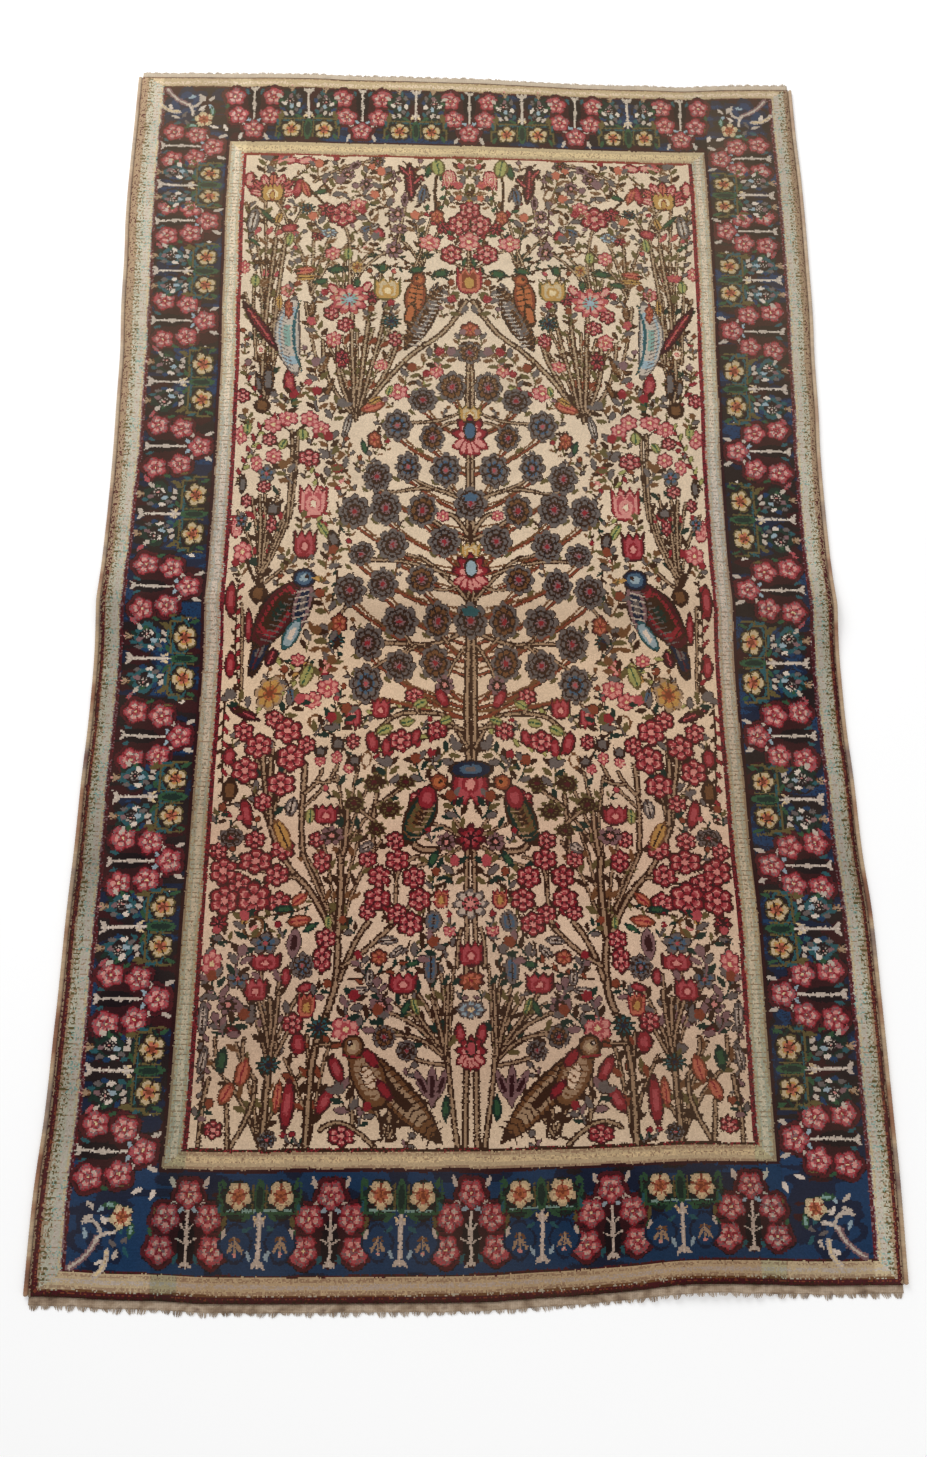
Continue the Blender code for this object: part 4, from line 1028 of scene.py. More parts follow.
def blueBird(spot):
    # beside the tree: blue head, long dark wings striped with crimson, tail down to the side
    tail = spot.at(7.1 - 12.4j, 20)
    leaf(tail, 1.5, 6.0, {1: "ink", 0.7: "navy", 0.36: "slate"}, rib="maroon")
    wing = spot.at(4.2 - 6.4j, 34)
    leaf(wing, 3.1, 8.0, {1: "ink", 0.84: "maroon", 0.62: "crimson", 0.44: "umber", 0.22: "pine"})
    bars(wing, (-5.8, 6.0, 1.05), 0.8, {-2.0: "slate", 2.0: "umber"}, 0.13)
    leaf(spot.at(0.1 - 5.2j, 12), 1.9, 5.2, {1: "ink", 0.8: "mauve", 0.5: "navy", 0.24: "slate"})
    for step in (-8.0, -6.9, -5.8, -4.7, -3.6, -2.5):
        line(spot, (-0.9 + 1j * step, 1.5 + 1j * (step - 0.6)), 0.12, "ash")
    leaf(spot.at(1.9 - 10.2j, 30), 1.2, 3.2, {1: "teal", 0.72: "sky", 0.36: "white"})
    blossom(spot, 2.3, 2.1, 2, 0.05, {1: "ink", 0.86: "navy", 0.66: "blue", 0.36: "sky"})
    blossom(spot.at(-0.5 + 0.3j), 0.4, 0.4, 2, 0, {1: "ink"})
    leaf(spot.at(-2.7 - 0.2j, 98), 0.45, 1.2, {1: "gold"})


def smallParrot(spot):
    # turns to the axis on its perch: orange head, crimson shoulder, barred green-brown back
    back = spot.at(3.1 - 5.6j, 24)
    leaf(back, 2.5, 5.6, {1: "umber", 0.8: "pine", 0.56: "olive", 0.3: "umber"})
    bars(back, (-4.0, 4.4, 0.95), 0.6, {-1.4: "tan", 1.4: "brown"})
    leaf(spot.at(2.0 - 2.6j, 14), 1.7, 2.2, {1: "maroon", 0.8: "crimson", 0.4: "rose"})
    blossom(spot, 1.6, 1.5, 2, 0.05, {1: "umber", 0.84: "rust", 0.56: "orange"})
    blossom(spot.at(-0.3 + 0.2j), 0.36, 0.36, 2, 0, {1: "ink"})
    leaf(spot.at(-1.8 - 0.4j, 110), 0.36, 0.9, {1: "umber"})


def curvedFeather(spot):
    # a long pale feather by the side of the field, bowed outwards, teal beside its middle, with slate barbs
    leaf(spot, 2.3, 8.6, {1: "slate", 0.88: "ash", 0.7: "sky", 0.5: "ash", 0.26: "aqua"}, bend=1.9)
    leaf(spot.at(-1.0 + 0j), 0.3, 7.8, {1: "teal"}, bend=1.7)
    for step in np.arange(-7.0, 7.4, 0.8):
        bow = 1.9 * (1 - (step / 8.4) ** 2)
        line(spot, (bow + 1j * step, bow + 1.5 + 1j * (step + 0.8)), 0.1, "slate")


# Fans of leafy stems: foot, how many, first and last tip, wools of the leaves.
fans = (
    (21+33.5j, 6, 26.5+49j, 12.5+51j, ("olive", "umber", "rust", "olive")),
    (37.6+36j, 4, 42+60j, 33.4+58j, ("umber", "olive", "pine")),
    (38+57j, 4, 42.4+80j, 31.5+79j, ("olive", "brown", "rose", "umber")),
    (36.8+0j, 5, 41.6+15j, 32+18j, ("umber", "pine", "crimson")),
    (33-42j, 4, 40-31j, 30-29j, ("pine", "umber", "slate")),
    (21.4-60j, 5, 28-45j, 14.8-44j, ("umber", "olive", "brown")),
    (20.8-46j, 4, 22.4-33j, 12-35j, ("olive", "pine", "umber")),
    (3.6-78.5j, 6, 14-73j, 2.6-64j, ("olive", "pine", "umber")),
    (31.4-80j, 4, 36.4-67j, 27-68j, ("slate", "umber", "mauve")),
    (32.4-90j, 4, 42-77j, 26-80j, ("umber", "olive", "brown")),
    (12.6-90j, 3, 16-84j, 8-84j, ("umber", "brown")), (24.6-90j, 3, 22-76j, 29-78j, ("umber", "rust")),
    (24+58j, 4, 31+66j, 19+69j, ("pine", "olive")), (9+66j, 3, 6+74j, 14+73j, ("pine", "umber")),
    (29.6+60j, 4, 33+72j, 22+72j, ("brown", "olive")), (0.6-44j, 3, 9-48j, 4-39j, ("olive", "pine")),
)

# Boughs with small leaves, each a start, a pull, a tip and the wools of its leaves.
boughs = (
    (29+83j, 25+89.6j, 16.8+90.4j, "brown", "mauve"), (13+89j, 17+80j, 13.8+70j, "umber", "mauve"),
    (12.8+90.4j, 8+86j, 9.4+80j, "wine", "maroon"), (7+90.4j, 3+86j, 5.4+79j, "green", "olive"),
    (38.6+82j, 32+86j, 30+89.8j, "olive", "brown"), (40+64j, 42.4+72j, 41.6+80j, "slate", "olive"),
    (27+78j, 20+79j, 16.4+82j, "pine", "brown"), (22.6+70j, 16+71j, 10.4+66.4j, "umber", "pine"),
    (10.4+66.2j, 5+62j, 1.4+66.4j, "pine", "umber"), (26.4+65j, 18+68j, 11+65.6j, "pine", "umber"),
    (0.4+72j, 6+74j, 8.6+80j, "green", "crimson"), (0.4+66j, 3+72j, 3.6+76j, "umber", "crimson"),
    (16.6+36.6j, 20+38j, 24.6+36j, "rust", "olive"), (12.8+39.2j, 10+38j, 8+41j, "crimson", "lime"),
    (19+27j, 18+31j, 16.4+31.4j, "pine", "umber"), (24+17j, 22+12j, 25+7j, "olive", "pine"),
    (25+7j, 22+3j, 24.4-3j, "pine", "umber"), (22.4-4j, 24-9j, 22.6-13j, "umber", "pine"),
    (28-12j, 30-17j, 36.4-21j, "gold", "lime"), (36.2-10j, 31-15j, 27.4-13.4j, "lime", "pine"),
    (39.8-18j, 41.4-10j, 40.4+2j, "crimson", "umber"), (42-20j, 42.4-30j, 40.4-40j, "umber", "crimson"),
    (26.4-24j, 22-26j, 20.6-30j, "umber", "pine"), (6-22.4j, 12-19.6j, 18.6-23j, "lime", "pine"),
    (2-24j, 10-28j, 15.6-29j, "lime", "crimson"), (41-60j, 42.4-70j, 41-84j, "slate", "mauve"),
    (36-55j, 33-56j, 31.6-60j, "pine", "olive"), (9.8-60j, 11.6-64j, 8.4-69j, "slate", "pine"),
    (2-49j, 8-52j, 8.2-60j, "olive", "umber"), (1-58j, 5-60j, 5.4-66j, "pine", "slate"),
    (19.4-66j, 15-66j, 11-63j, "rust", "pine"), (30.4-50j, 36-52j, 41.4-50j, "pine", "crimson"),
    (40.4-38j, 36-37j, 34.4-34j, "slate", "olive"), (24.4-53j, 28-56j, 33-56j, "olive", "pine"),
    (12.4-48j, 16-52j, 13.4-57j, "umber", "crimson"), (30+27j, 27+22j, 26.4+12j, "lime", "crimson"),
    (33+31j, 39+36j, 42+44j, "crimson", "olive"), (42.4+20j, 40+28j, 37.4+33j, "lime", "crimson"),
)

# Twigs that fill the ground between the larger flowers: from and to which height, wools of the small leaves,
# wools of the buds, share of the free places.
fillings = (
    (66.0, 95.0, ("olive", "slate", "brown", "umber"),
     ("rose", "crimson", "mauve", "salmon", "slate"), 0.66),
    (36.0, 66.0, ("olive", "brown", "slate", "umber"), ("crimson", "rose", "mauve", "rust", "slate"), 0.8),
    (-18.0, 36.0, ("brown", "olive", "umber", "slate"),
     ("crimson", "rust", "olive", "slate", "brown"), 0.85),
    (-60.0, -18.0, ("slate", "olive", "umber", "pine"), ("crimson", "slate", "rose", "rust"), 0.97),
    (-95.0, -60.0, ("slate", "umber", "mauve", "pine"), ("crimson", "slate", "mauve", "rust"), 0.97),
)


# The lattice of twigs over the right half of the field: its edges, and for each pass the reach of a twig,
# its pairs of leaves and the step of the lattice.
lattice = dict(near=-90.2, far=90.4, middle=0.4, side=42.6,
               passes=((2.6, 3, 2.9), (1.9, 2, 2.2), (1.3, 1, 1.7)))


def twig(spot, reach, leafWools, budWool, pairs):
    # a short stalk with pairs of small leaves and a bud on its tip
    stem(spot.curve(-0.8j * reach, 0.3 * reach, 0.7j * reach, 4), 0.16, leafWools[0])
    for k in range(pairs):
        for side in (-1, 1):
            where = spot.at(side * 0.42 * reach + 1j * reach * (k * 0.62 - 0.42), -side * 52)
            leaf(where, 0.19 * reach, 0.42 * reach, {1: leafWools[(k + side) % len(leafWools)]})
    blossom(spot.at(0.78j * reach), 0.34 * reach, 0.38 * reach, 5, 0.16, {1: budWool})


def fillGround():
    # walks a jittered lattice over the right half and puts a twig wherever the ground is still bare
    rng = np.random.default_rng(31)
    ivory = woolNames.index("ivory")
    for reach, pairs, gap in lattice["passes"]:
        for up in np.arange(lattice["near"], lattice["far"], gap):
            for out in np.arange(lattice["middle"] + gap / 2, lattice["side"], gap):
                place = out + rng.uniform(-0.3, 0.3) * gap + 1j * (up + rng.uniform(-0.3, 0.3) * gap)
                lean, choice = rng.uniform(-50, 50), rng.integers(0, 60)
                row = next(row for row in fillings if row[0] <= place.imag < row[1])
                leafWools, buds, share = row[2:]
                bare = (chart.knots[chart.window(place, 0.86 * reach)] == ivory).mean()
                if bare < (0.64 if reach > 1.5 else 0.74) or rng.random() > share:
                    continue
                if -20 < place.imag < 40 and place.real < 24 and (reach > 1.4 or rng.random() < 0.4):
                    continue
                for flip in (False, True):
                    spot = Spot(0j, flip=flip).at(place, lean)
                    wools = leafWools[choice % 4:] + leafWools[:choice % 4]
                    twig(spot, reach, wools, buds[choice % len(buds)], pairs)


# The thin line that a weaver ties round each shape, by the wool inside it.
outlines = dict(
    crimson="maroon", rose="maroon", pink="rose", salmon="rust", maroon="umber", wine="umber",
    orange="rust", gold="brown", cream="brown", white="slate", sky="slate", aqua="teal", blue="ink",
    slate="ink", ash="slate", mauve="ink", navy="ink", teal="pine", green="pine", lime="olive",
    rust="umber", straw="brown", tan="umber",
)


def outlineShapes(field):
    # a bare knot beside a coloured one takes that wool's outline
    ivory = woolNames.index("ivory")
    change = np.full(len(woolNames), ivory)
    for wool, line in outlines.items():
        change[woolNames.index(wool)] = woolNames.index(line)
    bare = field & (chart.knots == ivory)
    drawn = chart.knots.copy()
    for step, axis in besides:
        beside = change[np.roll(drawn, step, axis)]
        ring = bare & (beside != ivory) & np.roll(field, step, axis) & (chart.chance < 0.92)
        chart.knots[ring] = beside[ring]


def drawField():
    field = chart.knots == woolNames.index("ivory")
    before = chart.knots.copy()
    for flip in (False, True):
        half = Spot(0j, flip=flip)
        for foot, count, first, last, wools in fans:
            for share in np.linspace(0, 1, count):
                tip = first * (1 - share) + last * share + 2.6j * np.sin(np.pi * share)
                middle = 0.5 * foot + 0.5 * tip
                pull = middle + 0.35 * (foot.real - middle.real) + 0.1j * (tip.imag - foot.imag)
                leafyStem(half.curve(foot, pull, tip), 0.38, wools, gap=2.3, reach=1.7)
        for start, pull, tip, first, second in boughs:
            leafyStem(half.curve(start, pull, tip), 0.18, (first, second), gap=1.2, reach=1.1)
        for kind in ("slateRose", "blueRose", "umberRose"):
            for out, up, *_ in fieldMotifs[kind]:
                if -20 < up < 42 and 0 < out < 24:
                    # a forked twig drops from each dark rosette and sweeps in to the trunk
                    low = max(up - 3.4 - 0.34 * out, -21.0)
                    for sway in (-0.9, 0.5):
                        branch(half, out + sway + 1j * (up - 2), 0.62 * out + 1j * (low + 0.2),
                               0.5 + 1j * (low - 1.6 - sway), 0.2, "rust" if sway > 0 else "brown")
                    leaf(half.at(out + 2.1 + 1j * (up - 2.5), -50), 0.4, 0.9, {1: "olive"})
        for width, start, pull, stop in fieldStems:
            branch(half, start, pull, stop, width * 1.15, "umber", "tan" if width > 0.29 else None)
        curvedFeather(half.at(32.2 + 51.0j, -2))
        for kind, rows in fieldMotifs.items():
            for out, up, wide, tall, *turn in rows:
                motif(half.at(out + 1j * up, *turn), kind, wide, tall)
        cornerPalmette(half.at(37.4 + 82.0j))
        partridge(half.at(18.6 - 75.9j, 0, 1.12))
        perchingBird(half.at(9.6 + 63.6j))
        blueBird(half.at(29.2 + 2.2j))
        smallParrot(half.at(5.3 - 34.0j))
    axis = Spot(0j)
    palmette(axis.at(30.4j), 6.8, 9.0, "blue")
    palmette(axis.at(3.4j), 6.8, 8.4, "sky")
    palmette(axis.at(-77.2j), 4.8, 5.6, "rose")
    motif(axis.at(-35.0j, 180), "redCup", 6.2, 6.8)
    blossom(axis.at(-31.8j), 4.4, 1.6, 2, 0.1, {1: "ink", 0.8: "navy", 0.5: "blue", 0.25: "slate"})
    blossom(axis.at(18.2j), 1.4, 0.9, 5, 0.2, {1: "blue"})
    blossom(axis.at(-4.0j), 1.6, 0.9, 5, 0.2, {1: "teal"})
    fillGround()
    outlineShapes(field)
    # flowers stop at the edge of the field
    chart.knots[~field] = before[~field]


def fadeWools(region, pairs, share):
    # a share of the knots of each first wool takes the second
    for wool, other in pairs:
        chart.tie(everywhere, region & (chart.knots == woolNames.index(wool)), other, share)


def drawChart(size):
    layBands(size)
    tieBorderGround(size)
    drawBorder(size)
    drawField()
    side, near, far = size["guardStop"]
    inField = np.abs(chart.x) < size["halfWidth"] - side
    inField = inField & (chart.y > size["near"] + near) & (chart.y < size["far"] - far)
    # the dark outlines of the field are browner than the border's, and the wools of its far part are paler
    fadeWools(inField, (("ink", "umber"),), 0.6)
    fadeWools(inField & (chart.y > 40),
              (("pink", "straw"), ("rose", "salmon"), ("crimson", "rose"), ("maroon", "crimson"),
               ("tan", "straw"), ("brown", "tan"), ("umber", "brown"), ("pine", "olive")), 0.2)
    fadeWools(~inField, (("pink", "ash"), ("rose", "mauve")), 0.3)
    fadeWools(~inField, (("crimson", "mauve"), ("cream", "tan")), 0.16)
    wearKnots()
    return chart.knots.astype(np.int64)


knots = drawChart(chartSize)
print("chart drawn", knots.shape, "knots in", len(np.unique(knots)), "wools")

# The knotted pile: three by three knots on each face of its top.
pile = dict(facesAcross=228, facesAlong=390, share=6, unevenness=0.00035, edgeRound=0.0030, seed=21)


def knottedPile(knots):
    # top: z = raised + thickness, less a rounded drop at the rim, plus a slow unevenness; the underside is
    # a grid six times coarser at z = raised; wall faces join six top edges to one edge of the underside
    across, along, share = pile["facesAcross"], pile["facesAlong"], pile["share"]
    lowAcross, lowAlong = across // share, along // share

    def sheetOf(columns, rows):
        u, v = np.meshgrid(np.linspace(-1, 1, columns + 1), np.linspace(0, 1, rows + 1))
        x, y = layOut(u, lie["near"] + v * (lie["far"] - lie["near"]))
        return x, y, np.stack([u * 0.5 + 0.5, v], -1).reshape(-1, 2)

    x, y, uvTop = sheetOf(across, along)
    rng = np.random.default_rng(pile["seed"])
    uneven = smoothNoise(rng, 70, 42, x.shape) + 0.6 * smoothNoise(rng, 190, 110, x.shape)
    rim = np.ones(x.shape)
    rim[1:-1, 1:-1] = 0
    top = raised(x, y) + lie["thickness"] - pile["edgeRound"] * rim + pile["unevenness"] * uneven * (1 - rim)
    xLow, yLow, uvLow = sheetOf(lowAcross, lowAlong)
    places = np.concatenate([np.stack([x, y, top], -1).reshape(-1, 3),
                             np.stack([xLow, yLow, raised(xLow, yLow)], -1).reshape(-1, 3)])
    total = (across + 1) * (along + 1)
    numbers = np.arange(total).reshape(along + 1, across + 1)
    lowNumbers = total + np.arange((lowAcross + 1) * (lowAlong + 1)).reshape(lowAlong + 1, -1)
    walls = []
    # the four edges, each walked with the rug on its left
    for edge, low in ((numbers[0], lowNumbers[0]), (numbers[:, -1], lowNumbers[:, -1]),
                      (numbers[-1, ::-1], lowNumbers[-1, ::-1]), (numbers[::-1, 0], lowNumbers[::-1, 0])):
        first = np.arange(0, len(edge) - 1, share)
        upper = edge[first[:, None] + np.arange(share, -1, -1)]
        lower = np.stack([low[:-1], low[1:]], -1)
        walls.append(np.concatenate([lower, upper], -1))
    topFaces = gridFaces(along + 1, across + 1)
    lowFaces = gridFaces(lowAlong + 1, lowAcross + 1, total, flip=True)
    piece = meshFrom("rugPile", places, [topFaces, *walls, lowFaces], np.concatenate([uvTop, uvLow]))
    # each face holds its three rows of knots as three numbers, each with one digit for a knot
    digits = knots.reshape(along, 3, across, 3)
    powers = len(woolNames) ** np.arange(3)
    words = (digits * powers).sum(-1).transpose(0, 2, 1).reshape(-1, 3)
    edgeWord = woolNames.index("maroon") * powers.sum()
    store = np.full((len(piece.data.polygons), 3), edgeWord, np.float32)
    store[:len(words)] = words
    tied = piece.data.attributes.new("knots", "FLOAT_VECTOR", "FACE")
    tied.data.foreach_set("vector", store.ravel())
    under = np.zeros(len(store), np.int32)
    under[-len(lowFaces):] = 1
    piece.data.polygons.foreach_set("material_index", under)
    return piece


# Tone up the rug, partly fading and partly painted shade and light, as factors of red, green and blue. The
# ground goes from ivory at the far end to tan below the middle. Its darker and lighter bands are painted
# shade and light across the crease and the folds. The outer guards take painted bands of shade and light by
# rows of their own, and the inner guards lighten towards the far end by rows of their own.
fadeAndPaintedShade = dict(
    # the ground's dips are painted shade and its rises painted light across the folds; the dip at 0.495 is
    # painted shade on the crease, with painted light just beyond it
    ground=((0.0, 0.72, 0.60, 0.54), (0.07, 0.66, 0.55, 0.50), (0.085, 0.76, 0.67, 0.63),
            (0.105, 0.80, 0.70, 0.62), (0.145, 0.72, 0.59, 0.53), (0.19, 0.75, 0.62, 0.57),
            (0.25, 0.84, 0.70, 0.64), (0.305, 0.80, 0.63, 0.57), (0.35, 0.84, 0.71, 0.64),
            (0.41, 0.92, 0.79, 0.69), (0.46, 0.88, 0.75, 0.66), (0.495, 0.79, 0.69, 0.62),
            (0.54, 0.94, 0.87, 0.80), (0.66, 0.93, 0.88, 0.83), (0.80, 0.95, 0.92, 0.87),
            (1.0, 0.95, 0.90, 0.82)),
    inner=((0.10, 0.52, 0.54, 0.50), (0.14, 0.52, 0.54, 0.50), (0.24, 0.55, 0.51, 0.45),
           (0.34, 0.52, 0.48, 0.43), (0.455, 0.62, 0.57, 0.57), (0.577, 0.66, 0.66, 0.72),
           (0.71, 0.82, 0.81, 0.78), (0.854, 0.84, 0.83, 0.80)),
    # the outer guards' dark and light bands are painted shade and light across the folds
    outer=[(place, 0.70 * share, 0.68 * share, 0.66 * share) for place, share in (
        (0.06, 1.14), (0.13, 0.92), (0.21, 1.12), (0.29, 0.70), (0.375, 1.0), (0.467, 0.86), (0.50, 0.92),
        (0.53, 1.24), (0.67, 1.32), (0.78, 1.34), (0.90, 1.36))],
)


# Where the zones of the fading and painted shade start, as shares of the width from the middle.
zones = dict(innerGuard=(0.333, 0.335), border=(0.363, 0.365), beyondField=(0.364, 0.366),
             outerGuard=(0.465, 0.468))


def pileFinish(size):
    # the wool of each knot from the chart, then age with painted bands of shade and light, wear, the grain
    # of the tufts and the rows of weft
    finish = Finish("knottedPile", Roughness=0.95, Specular_IOR_Level=0.08)
    across, up = finish.weave()
    column = (across * size["columns"]).floor()
    row = (up * size["rows"]).floor()
    inColumn, inRow = column % 3, row % 3
    words = finish.parts(finish.node("ShaderNodeAttribute", dict(attribute_name="knots")).outputs["Vector"])
    low, high = inRow < 0.5, inRow > 1.5
    word = words[0] * low + words[2] * high + words[1] * (1 - low - high)
    # a knot's wool is the digit of its column: the word over 1, the base or its square
    base = len(woolNames)
    power = 1 + (base - 1) * (inColumn > 0.5) + base * (base - 1) * (inColumn > 1.5)
    digit = (word / power).floor() % base
    stops = [(i / base, linear(woolColours[name])) for i, name in enumerate(woolNames)]
    colour = finish.ramp((digit + 0.5) / base, stops, "CONSTANT")
    place = finish.place()
    x, y, _ = finish.parts(place)
    # tones along the rug for the ground and the guards: fading together with painted shade and light bands
    # across the crease and the folds
    agedAndPaintedShade, inner, outer = (finish.ramp(up, [(place, (*tone, 1)) for place, *tone in fadeAndPaintedShade[zone]])
                          for zone in ("ground", "inner", "outer"))
    # painted light and shade on the guards: the left guards are lighter towards the far end and darker
    # towards the near one, the right guards the other way round
    paintedLightTilt = 1.2 + 0.6 * (up - 0.52) * (0.5 - across)
    side = (across - 0.5).maths("ABSOLUTE")
    beyondField = side.rise(*zones["beyondField"])
    agedAndPaintedShade = finish.mix(beyondField * 0.6, agedAndPaintedShade, (0.92, 0.88, 0.86, 1))
    inGuard = side.rise(*zones["innerGuard"]) * (1 - side.rise(*zones["border"]))
    agedAndPaintedShade = finish.mix(inGuard, agedAndPaintedShade, finish.shaded(inner, paintedLightTilt))
    agedAndPaintedShade = finish.mix(side.rise(*zones["outerGuard"]), agedAndPaintedShade, finish.shaded(outer, paintedLightTilt))
    colour = finish.mix(1.0, colour, agedAndPaintedShade, "MULTIPLY")
    # streaks across the rug where the dye lots change
    streak = finish.noise(finish.vector(x * 2.2, y * 34), 1.0, 3.0)
    cloud = finish.noise(place, 9.0, 3.0)
    grain = finish.speck(finish.vector(column, row))
    tuft = finish.noise(place, 900.0, 2.0)
    light = 0.54 + 0.24 * streak + 0.26 * cloud + 0.24 * grain + 0.16 * tuft
    colour = finish.shaded(colour, light)
    # dust and handling grey the wool a little in patches, and the far half is faded by the sun
    dust = (finish.noise(place, 3.2, 4.0) - 0.4).limited() * 0.25
    dust = dust + 0.09 * up.rise(0.45, 0.88) * (1 + 0.7 * beyondField)
    colour = finish.mix(dust, colour, (0.35, 0.26, 0.16, 1))
    # relief: knots lean in rows, single tufts stand proud
    rows = (up * (size["rows"] * 2 * np.pi)).wave()
    columns = (across * (size["columns"] * 2 * np.pi)).wave()
    relief = 0.35 * grain + 0.35 * tuft + 0.08 * rows + 0.05 * columns
    normal = finish.bump(relief, 0.0016, 0.8)
    normal = finish.bump(finish.noise(place, 60.0, 3.0), 0.004, 0.35, normal)
    rough = 0.86 + 0.12 * tuft
    return finish.into(Base_Color=colour, Normal=normal, Roughness=rough)


def backFinish(size):
    # the underside: cotton ground with the ghost of the bands, crossed by rows of knots and wefts
    finish = Finish("rugBack", Roughness=0.9)
    across, up = finish.weave()
    # metres from the nearer side and the nearer end
    fromSide = (0.5 - (across - 0.5).maths("ABSOLUTE")) * (0.02 * size["halfWidth"])
    fromEnd = (0.5 - (up - 0.5).maths("ABSOLUTE")) * (0.01 * (size["far"] - size["near"]))
    inward = fromSide.maths("MINIMUM", fromEnd)
    tones = [("maroon", 0.0), ("sage", 0.0075), ("ink", 0.037), ("sage", 0.178), ("ivory", 0.208)]
    stops = [(start * 4, linear(woolColours[name])) for name, start in tones]
    colour = finish.ramp(inward * 4, stops, "CONSTANT")
    place = finish.place()
    cells = finish.node("ShaderNodeTexVoronoi", None, {"Vector": place, "Scale": 26.0}).outputs["Color"]
    wools = finish.ramp(finish.parts(cells)[0], [(i / 6, linear(woolColours[name])) for i, name in enumerate(
        ("rose", "ivory", "navy", "pine", "ivory", "crimson"))], "CONSTANT")
    colour = finish.mix(finish.noise(place, 34.0, 3.0).rise(0.5, 0.62) * 0.6, colour, wools)
    rows = (up * (size["rows"] * 2 * np.pi)).wave()
    colour = finish.mix(0.30 + 0.14 * rows, colour, linear((196, 176, 140)))
    normal = finish.bump(rows + finish.noise(place, 700.0, 2.0), 0.0008, 0.6)
    return finish.into(Base_Color=colour, Normal=normal)


# Overcast side cords: yarn wrapped round the edge warps.
cords = dict(rings=1860, sides=12, wrap=0.0048, ridge=0.10, names=("selvedge_left", "selvedge_right"))


def sideCord(name, side):
    # a tube along the edge: radius = R (1 - ridge (1 - |sin(pi (s / wrap + turn))|)), so ridges wind round
    along = np.linspace(lie["near"], lie["far"], cords["rings"])
    x, y = layOut(np.full(along.shape, float(side)), along, lie["cordGap"] + lie["cordRadius"])
    z = lie["cordRadius"] + raised(x - side * (lie["cordGap"] + lie["cordRadius"]), y)
    centre = np.stack([x, y, z], -1)
    run = np.gradient(centre, axis=0)
    run /= np.linalg.norm(run, axis=1, keepdims=True)
    outward = np.cross(run, (0, 0, 1.0))
    outward /= np.linalg.norm(outward, axis=1, keepdims=True)
    upward = np.cross(outward, run)
    way = np.concatenate([[0], np.cumsum(np.linalg.norm(np.diff(centre, axis=0), axis=1))])
    turn = np.arange(cords["sides"]) / cords["sides"]
    rng = np.random.default_rng(40 + side)
    phase = np.pi * (way[:, None] / cords["wrap"] + turn[None, :])
    lumps = 1 + 0.02 * smoothNoise(rng, 400, 6, (len(along), cords["sides"]))
    radius = lie["cordRadius"] * (1 - cords["ridge"] * (1 - np.abs(np.sin(phase)))) * lumps
    ends = np.ones(len(along))
    ends[[0, -1]] = 0.45
    ends[[1, -2]] = 0.85
    radius = np.minimum(radius * ends[:, None], lie["cordRadius"])
    angle = 2 * np.pi * turn
    places = centre[:, None] + radius[..., None] * (np.cos(angle)[None, :, None] * outward[:, None]
                                                    + np.sin(angle)[None, :, None] * upward[:, None])
    rings, sides = places.shape[:2]
    last = (rings - 1) * sides
    faces = [gridFaces(rings, sides, wrap=True), np.arange(sides)[None, ::-1],
             (last + np.arange(sides))[None, :]]
    uv = np.stack(np.broadcast_arrays(turn[None, :], (way / way[-1])[:, None]), -1).reshape(-1, 2)
    return meshFrom(name + "Yarn", places.reshape(-1, 3), faces, uv)


def cordFinish(seed):
    # tan and rust yarns that change along the cord, with painted shade between the wraps
    finish = Finish("overcastYarn" + str(seed), Roughness=0.88, Sheen_Weight=0.15)
    place = finish.place()
    x, y, z = finish.parts(place)
    lots = finish.noise(finish.vector(seed, y * 9), 1.0, 3.0)
    colour = finish.ramp(lots, [(0.30, linear((96, 60, 48))), (0.42, linear((150, 104, 76))),
                                (0.52, linear((186, 160, 128))), (0.62, linear((140, 118, 104))),
                                (0.72, linear((110, 58, 50)))])
    colour = finish.mix(y.rise(-0.2, 0.5) * 0.5, colour, linear((206, 186, 160)))
    wrap = finish.noise(finish.vector(x * 60, y * 420, z * 60), 1.0, 2.0)
    # painted shade: the yarn is darker in the grooves between the wraps
    light = 0.62 + 0.6 * wrap
    colour = finish.shaded(colour, light)
    normal = finish.bump(wrap + 0.4 * finish.noise(place, 1800.0, 2.0), 0.0006, 0.7)
    return finish.into(Base_Color=colour, Normal=normal)


# Flat-woven ends with their worn warps.
ends = dict(
    near=dict(node="fringed_end_near", side=-1, pile=lie["near"], web=0.0125,
              shortest=0.0045, longest=0.0090, seed=11),
    far=dict(node="fringed_end_far", side=1, pile=lie["far"], web=0.0130,
             shortest=0.0030, longest=0.0065, seed=23),
    gap=0.0005, thickness=0.0025, lobes=74, strands=7, columns=370, rowPitch=0.0025, waver=0.0008,
    weft=0.00012, clearance=0.0002, rooted=0.0016, lobeShare=0.84, strandRadius=(0.0007, 0.00105),
    strandRings=5, strandSides=4, weftPitch=0.0022, warpPitch=0.0035,
)


